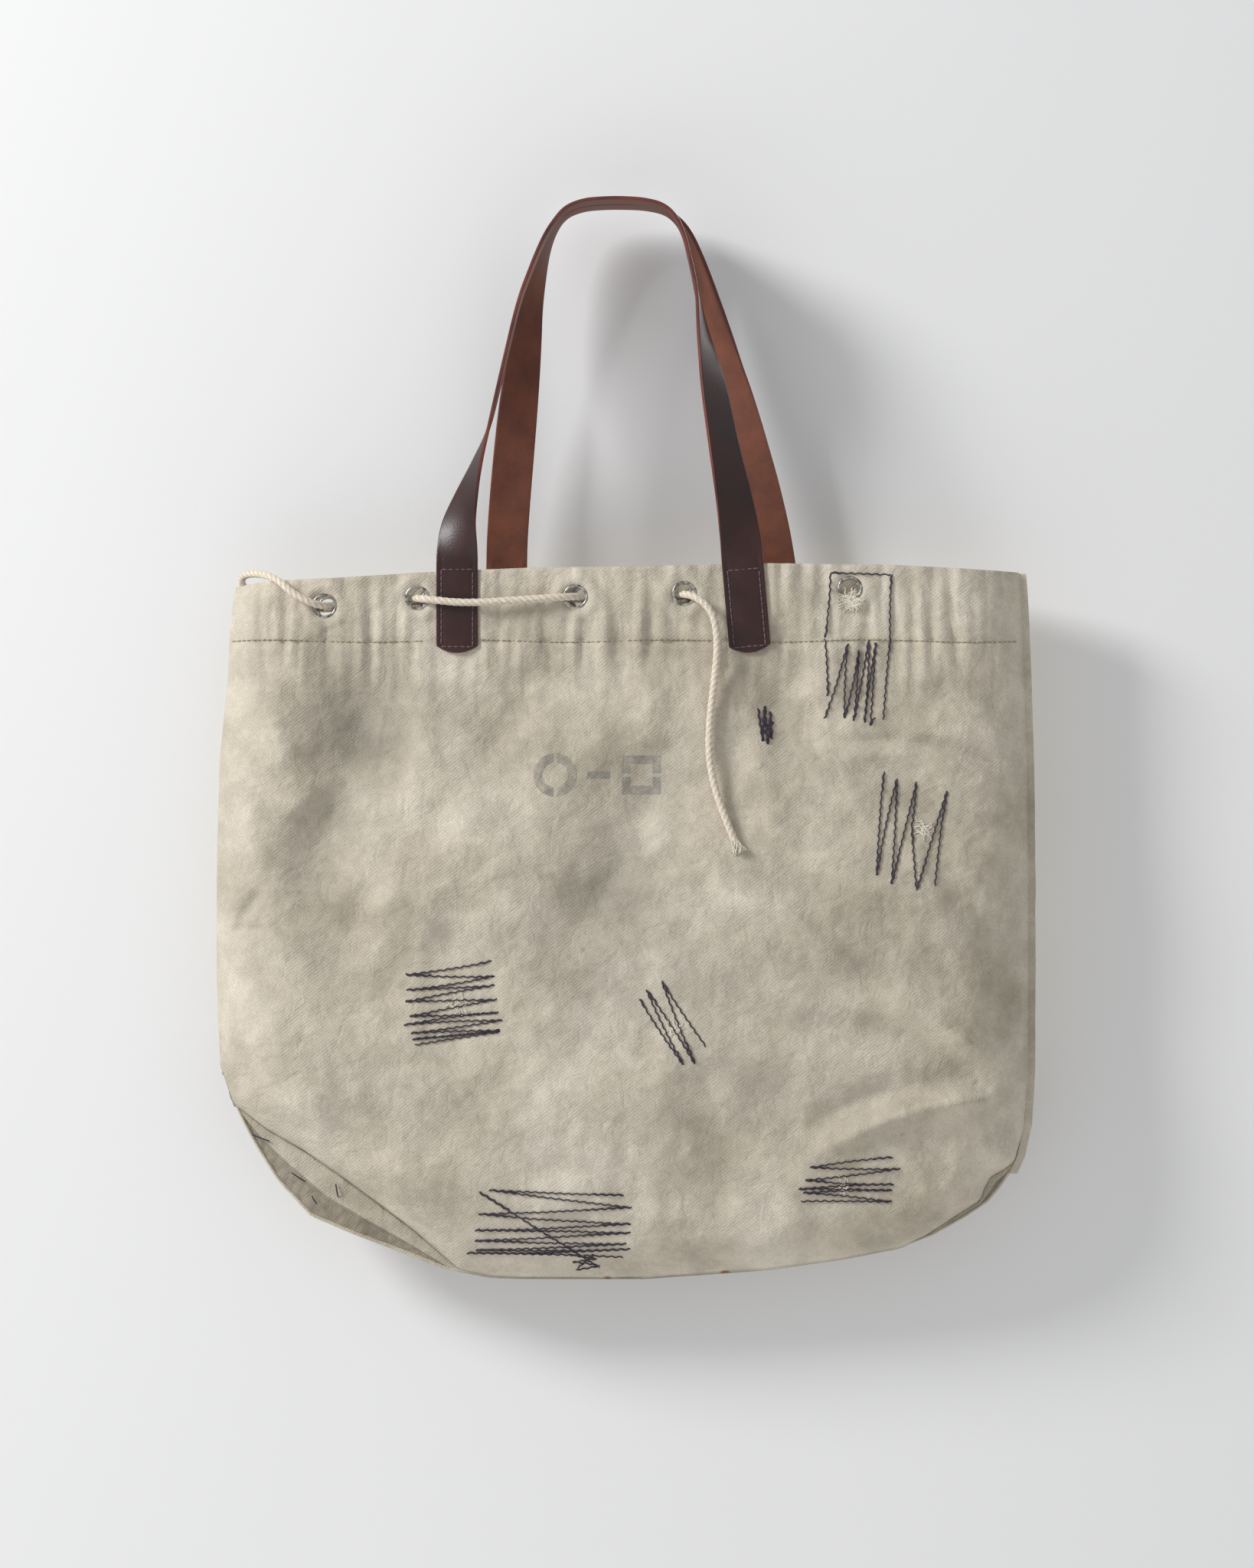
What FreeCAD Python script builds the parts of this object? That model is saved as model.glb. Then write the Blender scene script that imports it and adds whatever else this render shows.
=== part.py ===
import FreeCAD, Part
import math
import os

os.makedirs("parts", exist_ok=True)

V = FreeCAD.Vector

# A canvas mail sack made into a tote: a flat-hanging canvas wall with a felled seam down its right
# side, a round base folded up behind it, a hem with steel eyelets, a cotton drawstring laced through
# them, and two leather handles sewn on by their tabs.
# The origin is the hanging point: the line where the handles lie over a pair of pegs.
# +X is to the right, -Y is the front and +Z is up.  All sizes are in millimetres.

# Canvas sack
sack_width = 503.5          # across the hem, flat
sack_centre_x = 7.75        # the sack hangs a little to the right of its handles
mouth_drop = 227.0          # from the hanging line down to the mouth, at the left front tab
sack_height = 445.5         # from the mouth down to the bottom
mouth_depth = 44.0          # front to back across the open mouth
belly_depth = 68.0          # front to back at the fullest part
canvas_thickness = 1.2
hem_depth = 63.0            # the straight-sided band at the mouth
facing_depth = 57.0         # the turned-in layer behind the hem
hem_stitch_drop = 44.0
flat_share = 0.80           # how much of the half width lies flat
corner_height = 132.0       # where the lower corners start, above the bottom
base_seam_rise = 66.0       # how far the base is folded up behind the wall
side_strip_width = 46.0     # the cloth that turns into each side fold
foot_height = 112.5         # the cloth that rounds under, above the bottom
foot_corner_width = 122.0
seam_fin = 3.6              # how far the felled side seam stands out
seam_fin_thickness = 3.0
thread_width = 0.8
thread_height = 0.4

# Eyelets
eyelet_bore_radius = 6.0
eyelet_barrel_wall = 0.6
eyelet_flange_width = 1.25  # the rim outside the barrel
eyelet_flange_thickness = 0.6
eyelet_hole_clearance = 0.1
washer_clearance = 0.05
# across the flat of the hem as shares of its half width, and the drop below the mouth line
front_eyelets = [(-0.951, 22.0), (-0.662, 16.8), (-0.170, 16.3), (0.169, 14.3), (0.685, 11.0)]
back_eyelets = [(-0.952, 22.0), (-0.624, 17.0), (-0.148, 16.0), (0.220, 14.0), (0.620, 12.5)]
spare_eyelet = 4            # the fifth one on each side holds no cord

# Patch sewn behind the spare front eyelet
patch_width = 38.0
patch_height = 92.0
patch_thickness = 1.0
patch_offset_x = 6.5
patch_top_drop = 1.0

# Leather handles
strap_width = 26.0
strap_thickness = 2.2
tab_length = 56.5
tab_end_sag = 4.5
tab_stitch_margin = 3.2
fold_line_rise = 5.5        # above the mouth line, clear of the canvas edge under the straps
fold_gap = 0.5              # between each tab and its strap, either side of the fold line
tab_top_drop = 0.6
handle_gap = 3.0            # between the two straps where they lie side by side on the pegs
front_tabs = [(-100.7, 0.0), (78.1, -5.0)]     # centre X at the mouth, lean in degrees
back_tabs = [(-70.7, 1.5), (100.0, -3.0)]

# Drawstring
cord_diameter = 4.8
knot_radius = 6.2
fray_length = 9.0
fray_radius = 4.2

mouth_z = -mouth_drop
bottom_z = mouth_z - sack_height
half_width = sack_width / 2.0
flat_half_width = half_width * flat_share
front_y = -mouth_depth / 2.0
back_y = mouth_depth / 2.0
hem_bottom_z = mouth_z - hem_depth
corner_z = bottom_z + corner_height
eyelet_flange_radius = eyelet_bore_radius + eyelet_barrel_wall + eyelet_flange_width
fold_line_z = mouth_z + fold_line_rise

# The mouth edge sags to the left corner: (share of half width, height above the mouth line).
mouth_line = [(-1.05, -10.6), (-0.86, -5.7), (-0.46, -0.4), (0.33, 4.9), (0.67, 3.9), (1.05, -0.8)]

# From the hem down to the corners: (share of that height, left inset, right inset, share of the way
# from the mouth's half depth to the belly's).
belly_half = belly_depth / 2.0
upper_rows = [(0.22, -5.5, -2.5, 0.37), (0.50, -9.4, -4.5, 0.80), (0.78, -9.4, -4.5, 1.0)]
# Below the corners: (height above the bottom, left inset, right inset, share of the belly's half depth).
lower_rows = [
    (corner_height, -7.4, -4.0, 1.00),
    (98.0, 7.5, 0.0, 0.94),
    (82.0, 17.0, 4.0, 0.89),
    (65.0, 27.0, 25.5, 0.80),
    (49.0, 41.0, 33.0, 0.70),
    (39.5, 50.0, 46.0, 0.62),
    (27.5, 77.0, 66.0, 0.50),
    (17.5, 106.0, 92.0, 0.38),
    (7.5, 132.0, 150.0, 0.26),
    (0.0, 160.0, 235.0, 0.15),
]

# A quarter of the flattened section: (share of half width, share of half depth).
quarter = [(1.0, 0.0), (0.985, 0.30), (0.95, 0.58), (0.88, 0.84), (flat_share, 1.0)]


def save(name, shape):
    shape.exportStep("parts/" + name + ".step")
    print(name, round(shape.Volume, 1), shape.isValid())


def mouth_height(x):
    """Height of the mouth edge at a place across the sack."""
    share = (x - sack_centre_x) / half_width
    for (low, low_z), (high, high_z) in zip(mouth_line, mouth_line[1:]):
        if share <= high:
            return mouth_z + low_z + (high_z - low_z) * (share - low) / (high - low)
    return mouth_z + mouth_line[-1][1]


def sack_rows():
    """Heights, ends and half depths of the outer surface, from above the mouth down."""
    left = sack_centre_x - half_width
    right = sack_centre_x + half_width
    half_mouth = mouth_depth / 2.0
    rows = [(mouth_z + 12.0, left, right, half_mouth), (hem_bottom_z, left, right, half_mouth)]
    for share, left_inset, right_inset, depth_share in upper_rows:
        z = hem_bottom_z + (corner_z - hem_bottom_z) * share
        depth = half_mouth + (belly_half - half_mouth) * depth_share
        rows.append((z, left + left_inset, right - right_inset, depth))
    for height, left_inset, right_inset, depth_share in lower_rows:
        rows.append((bottom_z + height, left + left_inset, right - right_inset, belly_half * depth_share))
    return rows


def half_depth_at(z):
    rows = sack_rows()
    for upper, lower in zip(rows, rows[1:]):
        if z >= lower[0]:
            share = (upper[0] - z) / (upper[0] - lower[0])
            return upper[3] + (lower[3] - upper[3]) * share
    return rows[-1][3]


def section(z, left, right, half_depth, inset):
    """One flattened oval of the sack, drawn in by the inset."""
    centre = (left + right) / 2.0
    reach = (right - left) / 2.0 - 1.2 * inset
    depth = max(half_depth - inset, 0.5)
    front_left = [V(centre - u * reach, -w * depth, z) for u, w in quarter]
    front_right = [V(centre + u * reach, -w * depth, z) for u, w in reversed(quarter)]
    back_right = [V(centre + u * reach, w * depth, z) for u, w in quarter[1:]]
    back_left = [V(centre - u * reach, w * depth, z) for u, w in reversed(quarter[1:])]
    points = front_left + front_right + back_right + back_left
    return Part.makePolygon(points + [points[0]])


def sack_solid(inset):
    """The filled sack; a drawn-in one also stands up off the bottom."""
    wires = []
    for z, left, right, depth in sack_rows():
        lift = 1.5 * inset if z < corner_z - 1.0 else 0.0
        wires.append(section(z + lift, left, right, depth, inset))
    return Part.makeLoft(wires, True, True)


def ring_band(top_z, low_z, outer_inset, inner_inset):
    """A straight-sided band round the hem between two layers."""
    left = sack_centre_x - half_width
    right = sack_centre_x + half_width
    outer = Part.Face(section(low_z, left, right, mouth_depth / 2.0, outer_inset))
    inner = Part.Face(section(low_z, left, right, mouth_depth / 2.0, inner_inset))
    return outer.cut(inner).extrude(V(0, 0, top_z - low_z))


def above_mouth():
    """The space over the mouth edge, which trims what stands above it."""
    reach = half_width * 1.05
    edge = [V(sack_centre_x + share * half_width, -belly_depth, mouth_z + z) for share, z in mouth_line]
    top = mouth_z + 60.0
    corners = [V(sack_centre_x + reach, -belly_depth, top), V(sack_centre_x - reach, -belly_depth, top)]
    points = edge + corners
    return Part.Face(Part.makePolygon(points + [points[0]])).extrude(V(0, 2 * belly_depth, 0))


def below_base_seam():
    """The space under the base seam, which slopes up from the front bottom edge to the back."""
    reach = half_width * 1.2
    front = V(-reach, -belly_depth, bottom_z - base_seam_rise * 0.95)
    back = V(-reach, belly_depth, bottom_z + base_seam_rise * 1.6)
    low = bottom_z - 3 * base_seam_rise
    points = [front, back, V(-reach, belly_depth, low), V(-reach, -belly_depth, low)]
    face = Part.Face(Part.makePolygon(points + [points[0]]))
    return face.extrude(V(2 * reach + 2 * sack_centre_x, 0, 0))


def eyelet_centres(places, y):
    """Centres of a row of eyelets on the outer face of the hem."""
    return [V(sack_centre_x + share * flat_half_width, y, mouth_z - drop) for share, drop in places]


def turned(profile, centre, outward):
    """Turn a (radius, depth) profile round an eyelet's axis; depth runs inwards from the hem."""
    points = [V(centre.x + radius, centre.y - outward * depth, centre.z) for radius, depth in profile]
    face = Part.Face(Part.makePolygon(points + [points[0]]))
    return face.revolve(centre, V(0, 1, 0), 360)


def eyelet(centre, outward, stack):
    """A rolled steel eyelet: a flange outside the hem and a barrel through it."""
    bore = eyelet_bore_radius
    barrel = bore + eyelet_barrel_wall
    rim = eyelet_flange_radius
    end = stack + eyelet_flange_thickness
    profile = [(bore, -eyelet_flange_thickness), (rim, -eyelet_flange_thickness), (rim, 0.0)]
    profile += [(barrel, 0.0), (barrel, end), (bore, end)]
    return turned(profile, centre, outward)


def washer(centre, outward, stack):
    """The washer inside the hem, which the barrel is rolled over."""
    bore = eyelet_bore_radius + eyelet_barrel_wall + washer_clearance
    rim = eyelet_flange_radius
    end = stack + eyelet_flange_thickness
    return turned([(bore, stack), (rim, stack), (rim, end), (bore, end)], centre, outward)


def hole_cutter(centre, outward, depth):
    radius = eyelet_bore_radius + eyelet_barrel_wall + eyelet_hole_clearance
    start = V(centre.x, centre.y + outward * 3.0, centre.z)
    return Part.makeCylinder(radius, depth + 6.0, start, V(0, -outward, 0))


def tab(centre_x, lean, outward):
    """A handle end sewn flat on the hem, with a rounded lower edge."""
    half = strap_width / 2.0
    top = -tab_top_drop
    low = -tab_length + tab_end_sag
    arc = Part.Arc(V(half, 0, low), V(0, 0, -tab_length), V(-half, 0, low)).toShape()
    sides = Part.makePolygon([V(-half, 0, low), V(-half, 0, top), V(half, 0, top), V(half, 0, low)])
    plate = Part.Face(Part.Wire([arc] + sides.Edges)).extrude(V(0, outward * strap_thickness, 0))
    plate.rotate(V(0, 0, 0), V(0, 1, 0), lean)
    plate.translate(V(centre_x, outward * mouth_depth / 2.0, fold_line_z - fold_gap))
    return plate


def bar(start, end, outward, width=thread_width, height=thread_height):
    """A straight row of stitches lying on a face, from start to end."""
    along = end.sub(start)
    across = V(-along.z, 0, along.x)
    across.normalize()
    across.multiply(width / 2.0)
    corners = [start.add(across), end.add(across), end.sub(across), start.sub(across)]
    return Part.Face(Part.makePolygon(corners + [corners[0]])).extrude(V(0, outward * height, 0))


def tab_stitches(centre_x, lean, outward):
    """Four rows of stitches round a tab."""
    half = strap_width / 2.0 - tab_stitch_margin
    top = -tab_top_drop - tab_stitch_margin
    low = -tab_length + tab_end_sag + tab_stitch_margin
    gap = 1.5 * thread_width
    rows = [
        bar(V(-half, 0, top), V(-half, 0, low), outward),
        bar(V(half, 0, top), V(half, 0, low), outward),
        bar(V(-half + gap, 0, top), V(half - gap, 0, top), outward),
        bar(V(-half + gap, 0, low), V(half - gap, 0, low), outward),
    ]
    stitches = Part.makeCompound(rows)
    stitches.rotate(V(0, 0, 0), V(0, 1, 0), lean)
    face_y = outward * (mouth_depth / 2.0 + strap_thickness)
    stitches.translate(V(centre_x, face_y, fold_line_z - fold_gap))
    return stitches


def strap(stations, side):
    """A twisted strap through (x, y, z, turn) stations; turn is the width's angle in plan."""
    places = [V(x, y, z) for x, y, z, turn in stations]
    wires = []
    last = len(places) - 1
    for index, (x, y, z, turn) in enumerate(stations):
        before = places[max(index - 1, 0)]
        after = places[min(index + 1, last)]
        along = after.sub(before)
        if index in (0, last):
            along = V(0, 0, 1 if index == 0 else -1)
        along.normalize()
        angle = math.radians(side * turn)
        across = V(math.cos(angle), math.sin(angle), 0)
        across = across.sub(V(along).multiply(across.dot(along)))
        across.normalize()
        face = along.cross(across)
        across.multiply(strap_width / 2.0)
        face.multiply(strap_thickness / 2.0)
        centre = places[index]
        corners = [
            centre.add(across).add(face),
            centre.add(across).sub(face),
            centre.sub(across).sub(face),
            centre.sub(across).add(face),
        ]
        wires.append(Part.makePolygon(corners + [corners[0]]))
    return Part.makeLoft(wires, True, True)


def panel_point(x, z):
    """A point on the sack's front face."""
    return V(x, -half_depth_at(z), z)


def darn(centre_x, centre_z, width, height, strokes, upright, slant=0.0):
    """A mend: thread run to and fro across a worn place, as separate strokes."""
    rows = []
    for index in range(strokes):
        step = (index + 0.5) / strokes - 0.5
        way = 1.0 if index % 2 == 0 else -1.0
        drift = 0.35 / strokes * way
        if upright:
            low = (centre_x + (step - drift) * width - slant / 2.0, centre_z - height / 2.0)
            high = (centre_x + (step + drift) * width + slant / 2.0, centre_z + height / 2.0)
        else:
            low = (centre_x - width / 2.0, centre_z + (step - drift) * height - slant / 2.0)
            high = (centre_x + width / 2.0, centre_z + (step + drift) * height + slant / 2.0)
        start = panel_point(*low)
        end = panel_point(*high)
        rows.append(bar(start, end, -1))
    return Part.makeCompound(rows)


def cord_wire(points, diameter):
    """Straight runs joined by tangent arcs as large as the runs allow; also gives the length."""
    edges = []
    length = 0.0
    radii = []
    here = points[0]
    for before, corner, after in zip(points, points[1:], points[2:]):
        back = before.sub(corner)
        ahead = after.sub(corner)
        shorter = min(back.Length, ahead.Length)
        back.normalize()
        ahead.normalize()
        turn = math.pi - back.getAngle(ahead)
        reach = 0.45 * shorter
        radius = reach / math.tan(turn / 2.0)
        first = corner.add(V(back).multiply(reach))
        second = corner.add(V(ahead).multiply(reach))
        inward = back.add(ahead)
        inward.normalize()
        middle = corner.add(inward.multiply(radius / math.cos(turn / 2.0) - radius))
        edges.append(Part.LineSegment(here, first).toShape())
        edges.append(Part.Arc(first, middle, second).toShape())
        length += first.sub(here).Length + radius * turn
        radii.append(round(radius / diameter, 1))
        here = second
    edges.append(Part.LineSegment(here, points[-1]).toShape())
    length += points[-1].sub(here).Length
    print("bend radii in cord diameters:", radii)
    return Part.Wire(edges), length


def cord_tube(points, diameter):
    wire, length = cord_wire(points, diameter)
    along = points[1].sub(points[0])
    profile = Part.Wire([Part.makeCircle(diameter / 2.0, points[0], along)])
    tube = wire.makePipeShell([profile], True, False)
    expected = math.pi * (diameter / 2.0) ** 2 * length
    print("cord length", round(length, 1), "volume over section x length", round(tube.Volume / expected, 4))
    return tube


# Canvas wall and base
outer = sack_solid(0.0)
shell = outer.cut(sack_solid(canvas_thickness)).cut(above_mouth())
seam_cutter = below_base_seam()
wall = shell.cut(seam_cutter)
base = shell.common(seam_cutter)

front_centres = eyelet_centres(front_eyelets, front_y)
back_centres = eyelet_centres(back_eyelets, back_y)
hem_stack = 2.0 * canvas_thickness
patch_stack = hem_stack + patch_thickness
front_stacks = [hem_stack] * len(front_centres)
front_stacks[spare_eyelet] = patch_stack

facing_top = mouth_z + 12.0
facing_low = mouth_z - facing_depth
facing = ring_band(facing_top, facing_low, canvas_thickness, hem_stack).cut(above_mouth())
cutters = [hole_cutter(centre, -1, patch_stack) for centre in front_centres]
cutters += [hole_cutter(centre, 1, patch_stack) for centre in back_centres]
for cutter in cutters:
    wall = wall.cut(cutter)
    facing = facing.cut(cutter)
# The wall and its facing are told apart at the left fold and the right seam. Each half of the wall is
# told apart again where the cloth turns into the side folds and the rounded foot.
span = 2.0 * sack_width
low_end = bottom_z - base_seam_rise
foot_top = bottom_z + foot_height
left_edge = sack_centre_x - half_width
right_edge = sack_centre_x + half_width


def slab(outward, x_from, x_to, z_from, z_to):
    """A block from the middle plane outwards, to take one part of the wall from."""
    y_from = min(0.0, outward * belly_depth)
    return Part.makeBox(x_to - x_from, belly_depth, z_to - z_from, V(x_from, y_from, z_from))


strip_left = left_edge + side_strip_width
strip_right = right_edge - side_strip_width
corner_left = left_edge + foot_corner_width
corner_right = right_edge - foot_corner_width
for label, outward in (("front", -1), ("back", 1)):
    save(label + "_panel", wall.common(slab(outward, strip_left, strip_right, foot_top, 0.0)))
    save(label + "_side_left", wall.common(slab(outward, -span, strip_left, foot_top, 0.0)))
    save(label + "_side_right", wall.common(slab(outward, strip_right, span, foot_top, 0.0)))
    save(label + "_foot", wall.common(slab(outward, corner_left, corner_right, low_end, foot_top)))
    save(label + "_corner_left", wall.common(slab(outward, -span, corner_left, low_end, foot_top)))
    save(label + "_corner_right", wall.common(slab(outward, corner_right, span, low_end, foot_top)))
    save(label + "_facing", facing.common(slab(outward, -span, span, low_end, 0.0)))
save("base_panel", base)

# Felled side seam down the right edge
fin_rows = [row for row in sack_rows() if row[0] > bottom_z + 80.0]
fin_wires = []
for z, left, right, depth in fin_rows:
    half = seam_fin_thickness / 2.0
    corners = [V(right, -half, z), V(right + seam_fin, -half, z), V(right + seam_fin, half, z)]
    corners.append(V(right, half, z))
    fin_wires.append(Part.makePolygon(corners + [corners[0]]))
side_seam = Part.makeLoft(fin_wires, True, True).cut(above_mouth())
save("side_seam", side_seam)

# Row of stitches that holds the hem, left out under the four tabs
stitch_z = mouth_z - hem_stitch_drop
hem_stitches = ring_band(stitch_z + thread_width / 2.0, stitch_z - thread_width / 2.0, -thread_height, 0.0)
for tabs, y in ((front_tabs, front_y - 5.0), (back_tabs, back_y)):
    for centre_x, lean in tabs:
        shift = math.tan(math.radians(lean)) * hem_stitch_drop
        reach = strap_width + 4.0
        block = Part.makeBox(reach, 5.0, 4.0, V(centre_x - shift - reach / 2.0, y, stitch_z - 2.0))
        hem_stitches = hem_stitches.cut(block)
save("hem_stitching", hem_stitches)

# Patch behind the spare front eyelet
spare = front_centres[spare_eyelet]
patch_x = spare.x + patch_offset_x - patch_width / 2.0
patch_y = front_y + hem_stack
patch_z = mouth_height(spare.x) - patch_top_drop - patch_height
patch_corner = V(patch_x, patch_y, patch_z)
patch = Part.makeBox(patch_width, patch_thickness, patch_height, patch_corner)
patch = patch.cut(hole_cutter(spare, -1, patch_stack)).cut(above_mouth())
save("eyelet_patch", patch)

# Eyelets and washers
for index, (centre, stack) in enumerate(zip(front_centres, front_stacks), start=1):
    save("front_eyelet_" + str(index), eyelet(centre, -1, stack))
for index, centre in enumerate(back_centres, start=1):
    save("back_eyelet_" + str(index), eyelet(centre, 1, hem_stack))
front_washers = [washer(centre, -1, stack) for centre, stack in zip(front_centres, front_stacks)]
back_washers = [washer(centre, 1, hem_stack) for centre in back_centres]
save("front_eyelet_washers", Part.makeCompound(front_washers))
save("back_eyelet_washers", Part.makeCompound(back_washers))

# Sewn tabs and their stitching
for name, tabs, outward in (("front", front_tabs, -1), ("back", back_tabs, 1)):
    for side, (centre_x, lean) in zip(("left", "right"), tabs):
        save(name + "_tab_" + side, tab(centre_x, lean, outward))
    rows = [tab_stitches(centre_x, lean, outward) for centre_x, lean in tabs]
    save(name + "_tab_stitching", Part.makeCompound(rows))

# Handle straps: (x, share of the way from the tab's plane to the peg's, z, turn in degrees).
# Each is flat to the sack at its tabs and turns edge-on before it goes over the pegs.
peg_y = (strap_width + handle_gap) / 2.0
tab_y = mouth_depth / 2.0 + strap_thickness / 2.0
strap_foot_z = fold_line_z + fold_gap
front_run = [
    (front_tabs[0][0], 0.0, strap_foot_z, 0.0),
    (-100.6, 0.02, -213.0, 14.0),
    (-99.5, 0.06, -197.5, 36.0),
    (-94.4, 0.15, -178.0, 58.0),
    (-88.0, 0.25, -158.0, 76.0),
    (-80.5, 0.40, -135.0, 88.0),
    (-71.8, 0.60, -98.5, 90.0),
    (-62.8, 0.80, -61.0, 90.0),
    (-55.2, 0.90, -39.0, 90.0),
    (-47.0, 1.0, -19.5, 90.0),
    (-40.0, 1.0, -8.0, 90.0),
    (-32.5, 1.0, 0.2, 90.0),
    (-22.0, 1.0, 4.6, 90.0),
    (-10.0, 1.0, 6.0, 90.0),
    (4.0, 1.0, 6.2, 90.0),
    (18.0, 1.0, 5.0, 90.0),
    (29.0, 1.0, 1.6, 90.0),
    (36.5, 1.0, -5.5, 90.0),
    (41.5, 1.0, -16.0, 91.0),
    (45.2, 0.95, -30.0, 91.0),
    (49.6, 0.85, -51.0, 92.0),
    (53.6, 0.70, -76.5, 105.0),
    (56.6, 0.60, -92.0, 115.0),
    (60.6, 0.45, -113.5, 127.0),
    (66.5, 0.25, -148.0, 136.0),
    (72.8, 0.10, -181.0, 150.0),
    (76.6, 0.03, -205.0, 166.0),
    (front_tabs[1][0], 0.0, strap_foot_z, 180.0),
]
back_run = [
    (back_tabs[0][0], 0.0, strap_foot_z, 0.0),
    (-70.3, 0.02, -205.0, 2.0),
    (-68.5, 0.10, -178.0, 6.0),
    (-65.0, 0.28, -138.5, 16.0),
    (-62.0, 0.45, -109.0, 28.0),
    (-58.8, 0.62, -80.0, 42.0),
    (-56.0, 0.75, -58.0, 54.0),
    (-51.6, 0.88, -38.0, 66.0),
    (-46.8, 0.95, -21.5, 76.0),
    (-40.5, 1.0, -8.5, 84.0),
    (-32.5, 1.0, 0.2, 90.0),
    (-22.0, 1.0, 4.6, 90.0),
    (-10.0, 1.0, 6.0, 90.0),
    (4.0, 1.0, 6.2, 90.0),
    (18.0, 1.0, 5.4, 90.0),
    (30.0, 1.0, 2.4, 90.0),
    (38.5, 1.0, -4.0, 94.0),
    (44.2, 0.98, -13.0, 100.0),
    (49.0, 0.94, -26.0, 107.0),
    (53.6, 0.88, -41.0, 114.0),
    (58.0, 0.80, -57.0, 122.0),
    (63.2, 0.70, -76.0, 131.0),
    (69.2, 0.58, -98.5, 142.0),
    (74.5, 0.46, -116.0, 151.0),
    (81.6, 0.30, -141.0, 160.0),
    (90.0, 0.12, -172.0, 168.0),
    (96.4, 0.03, -200.0, 175.0),
    (back_tabs[1][0], 0.0, strap_foot_z, 180.0),
]


def stations(run, outward):
    return [(x, outward * (tab_y + (peg_y - tab_y) * share), z, turn) for x, share, z, turn in run]


save("front_handle_strap", strap(stations(front_run, -1), -1))
save("back_handle_strap", strap(stations(back_run, 1), 1))

# Mends sewn in dark thread on the front face
save("mend_left", darn(-103.0, -498.0, 60.0, 50.0, 13, False, 4.0))
save("mend_middle", darn(34.0, -515.0, 22.0, 46.0, 5, True, -26.0))
save("mend_bottom_left", darn(-40.5, -636.0, 96.0, 40.0, 11, False, 3.0))
save("mend_bottom_right", darn(146.0, -608.5, 62.0, 26.0, 7, False, 4.0))
save("mend_right", darn(184.0, -389.0, 40.0, 64.0, 7, True, 6.0))
save("mend_small", darn(92.0, -324.0, 9.0, 22.0, 4, True, 3.0))
save("mend_under_eyelet", darn(146.0, -297.0, 30.0, 46.0, 9, True, 3.0))

# Stitching round the patch: two sides and the top edge
outline_left = patch_x + thread_width
outline_right = patch_x + patch_width - thread_width
outline_top = mouth_height(spare.x) - patch_top_drop - 2.0
outline_low = hem_bottom_z + 2.0
patch_rows = [
    bar(V(outline_left, front_y, outline_top), V(outline_left, front_y, stitch_z + 1.0), -1),
    bar(V(outline_right, front_y, outline_top), V(outline_right, front_y, stitch_z + 1.0), -1),
    bar(V(outline_left + 1.5, front_y, outline_top), V(outline_right - 1.5, front_y, outline_top), -1),
    bar(V(outline_right, front_y, stitch_z - 1.0), V(outline_right, front_y, outline_low), -1),
]
save("patch_stitching", Part.makeCompound(patch_rows))

# Drawstring, from the stopper knot behind, through the back eyelets, over the left corner, through
# the front eyelets and down to its frayed end.
cord_route = [
    (72.0, 28.4, -243.5), (57.2, 27.0, -241.4), (47.2, 14.6, -240.8), (26.0, 13.6, -242.4),
    (4.0, 13.0, -244.6), (-17.0, 14.6, -243.4), (-27.0, 27.0, -243.0), (-52.0, 28.6, -245.2),
    (-83.0, 28.8, -246.4), (-112.6, 27.0, -244.2), (-122.6, 14.6, -243.8), (-150.0, 13.4, -247.2),
    (-179.0, 14.6, -248.8), (-189.0, 27.0, -249.2), (-208.0, 28.4, -249.4), (-226.0, 26.0, -244.6),
    (-238.6, 16.6, -235.6), (-237.8, 3.0, -228.8), (-227.5, -9.6, -227.8), (-214.0, -23.0, -231.4),
    (-203.4, -28.0, -241.6), (-188.6, -27.0, -248.8), (-178.6, -14.6, -248.8), (-155.0, -13.2, -247.4),
    (-130.6, -14.6, -243.8), (-120.6, -27.0, -244.8), (-96.0, -28.8, -247.6), (-64.0, -28.0, -245.6),
    (-31.5, -27.0, -243.2), (-21.5, -14.6, -243.2), (7.0, -13.2, -244.6), (36.8, -14.6, -241.4),
    (46.8, -27.2, -242.0), (58.6, -30.4, -251.0), (62.6, -30.4, -268.0), (61.4, -29.6, -290.0),
    (57.8, -29.6, -316.0), (56.6, -31.2, -344.0), (62.4, -33.2, -371.0), (73.0, -34.8, -396.0),
]
cord_points = [V(x, y, z) for x, y, z in cord_route]
save("drawstring", cord_tube(cord_points, cord_diameter))

# Stopper knot and frayed end, face to face with the cord's two ends
knot_way = cord_points[0].sub(cord_points[1])
knot_way.normalize()
knot_reach = math.sqrt(knot_radius ** 2 - (cord_diameter / 2.0) ** 2)
knot_centre = cord_points[0].add(V(knot_way).multiply(knot_reach))
knot = Part.makeSphere(knot_radius, knot_centre)
knot_trim = Part.makeCylinder(knot_radius, knot_radius, cord_points[0], V(knot_way).multiply(-1))
save("drawstring_knot", knot.cut(knot_trim))
fray_way = cord_points[-1].sub(cord_points[-2])
fray = Part.makeCone(cord_diameter / 2.0, fray_radius, fray_length, cord_points[-1], fray_way)
save("drawstring_frayed_end", fray)
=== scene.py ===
import math
import random

import bpy
import numpy as np
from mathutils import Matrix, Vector, noise


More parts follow.
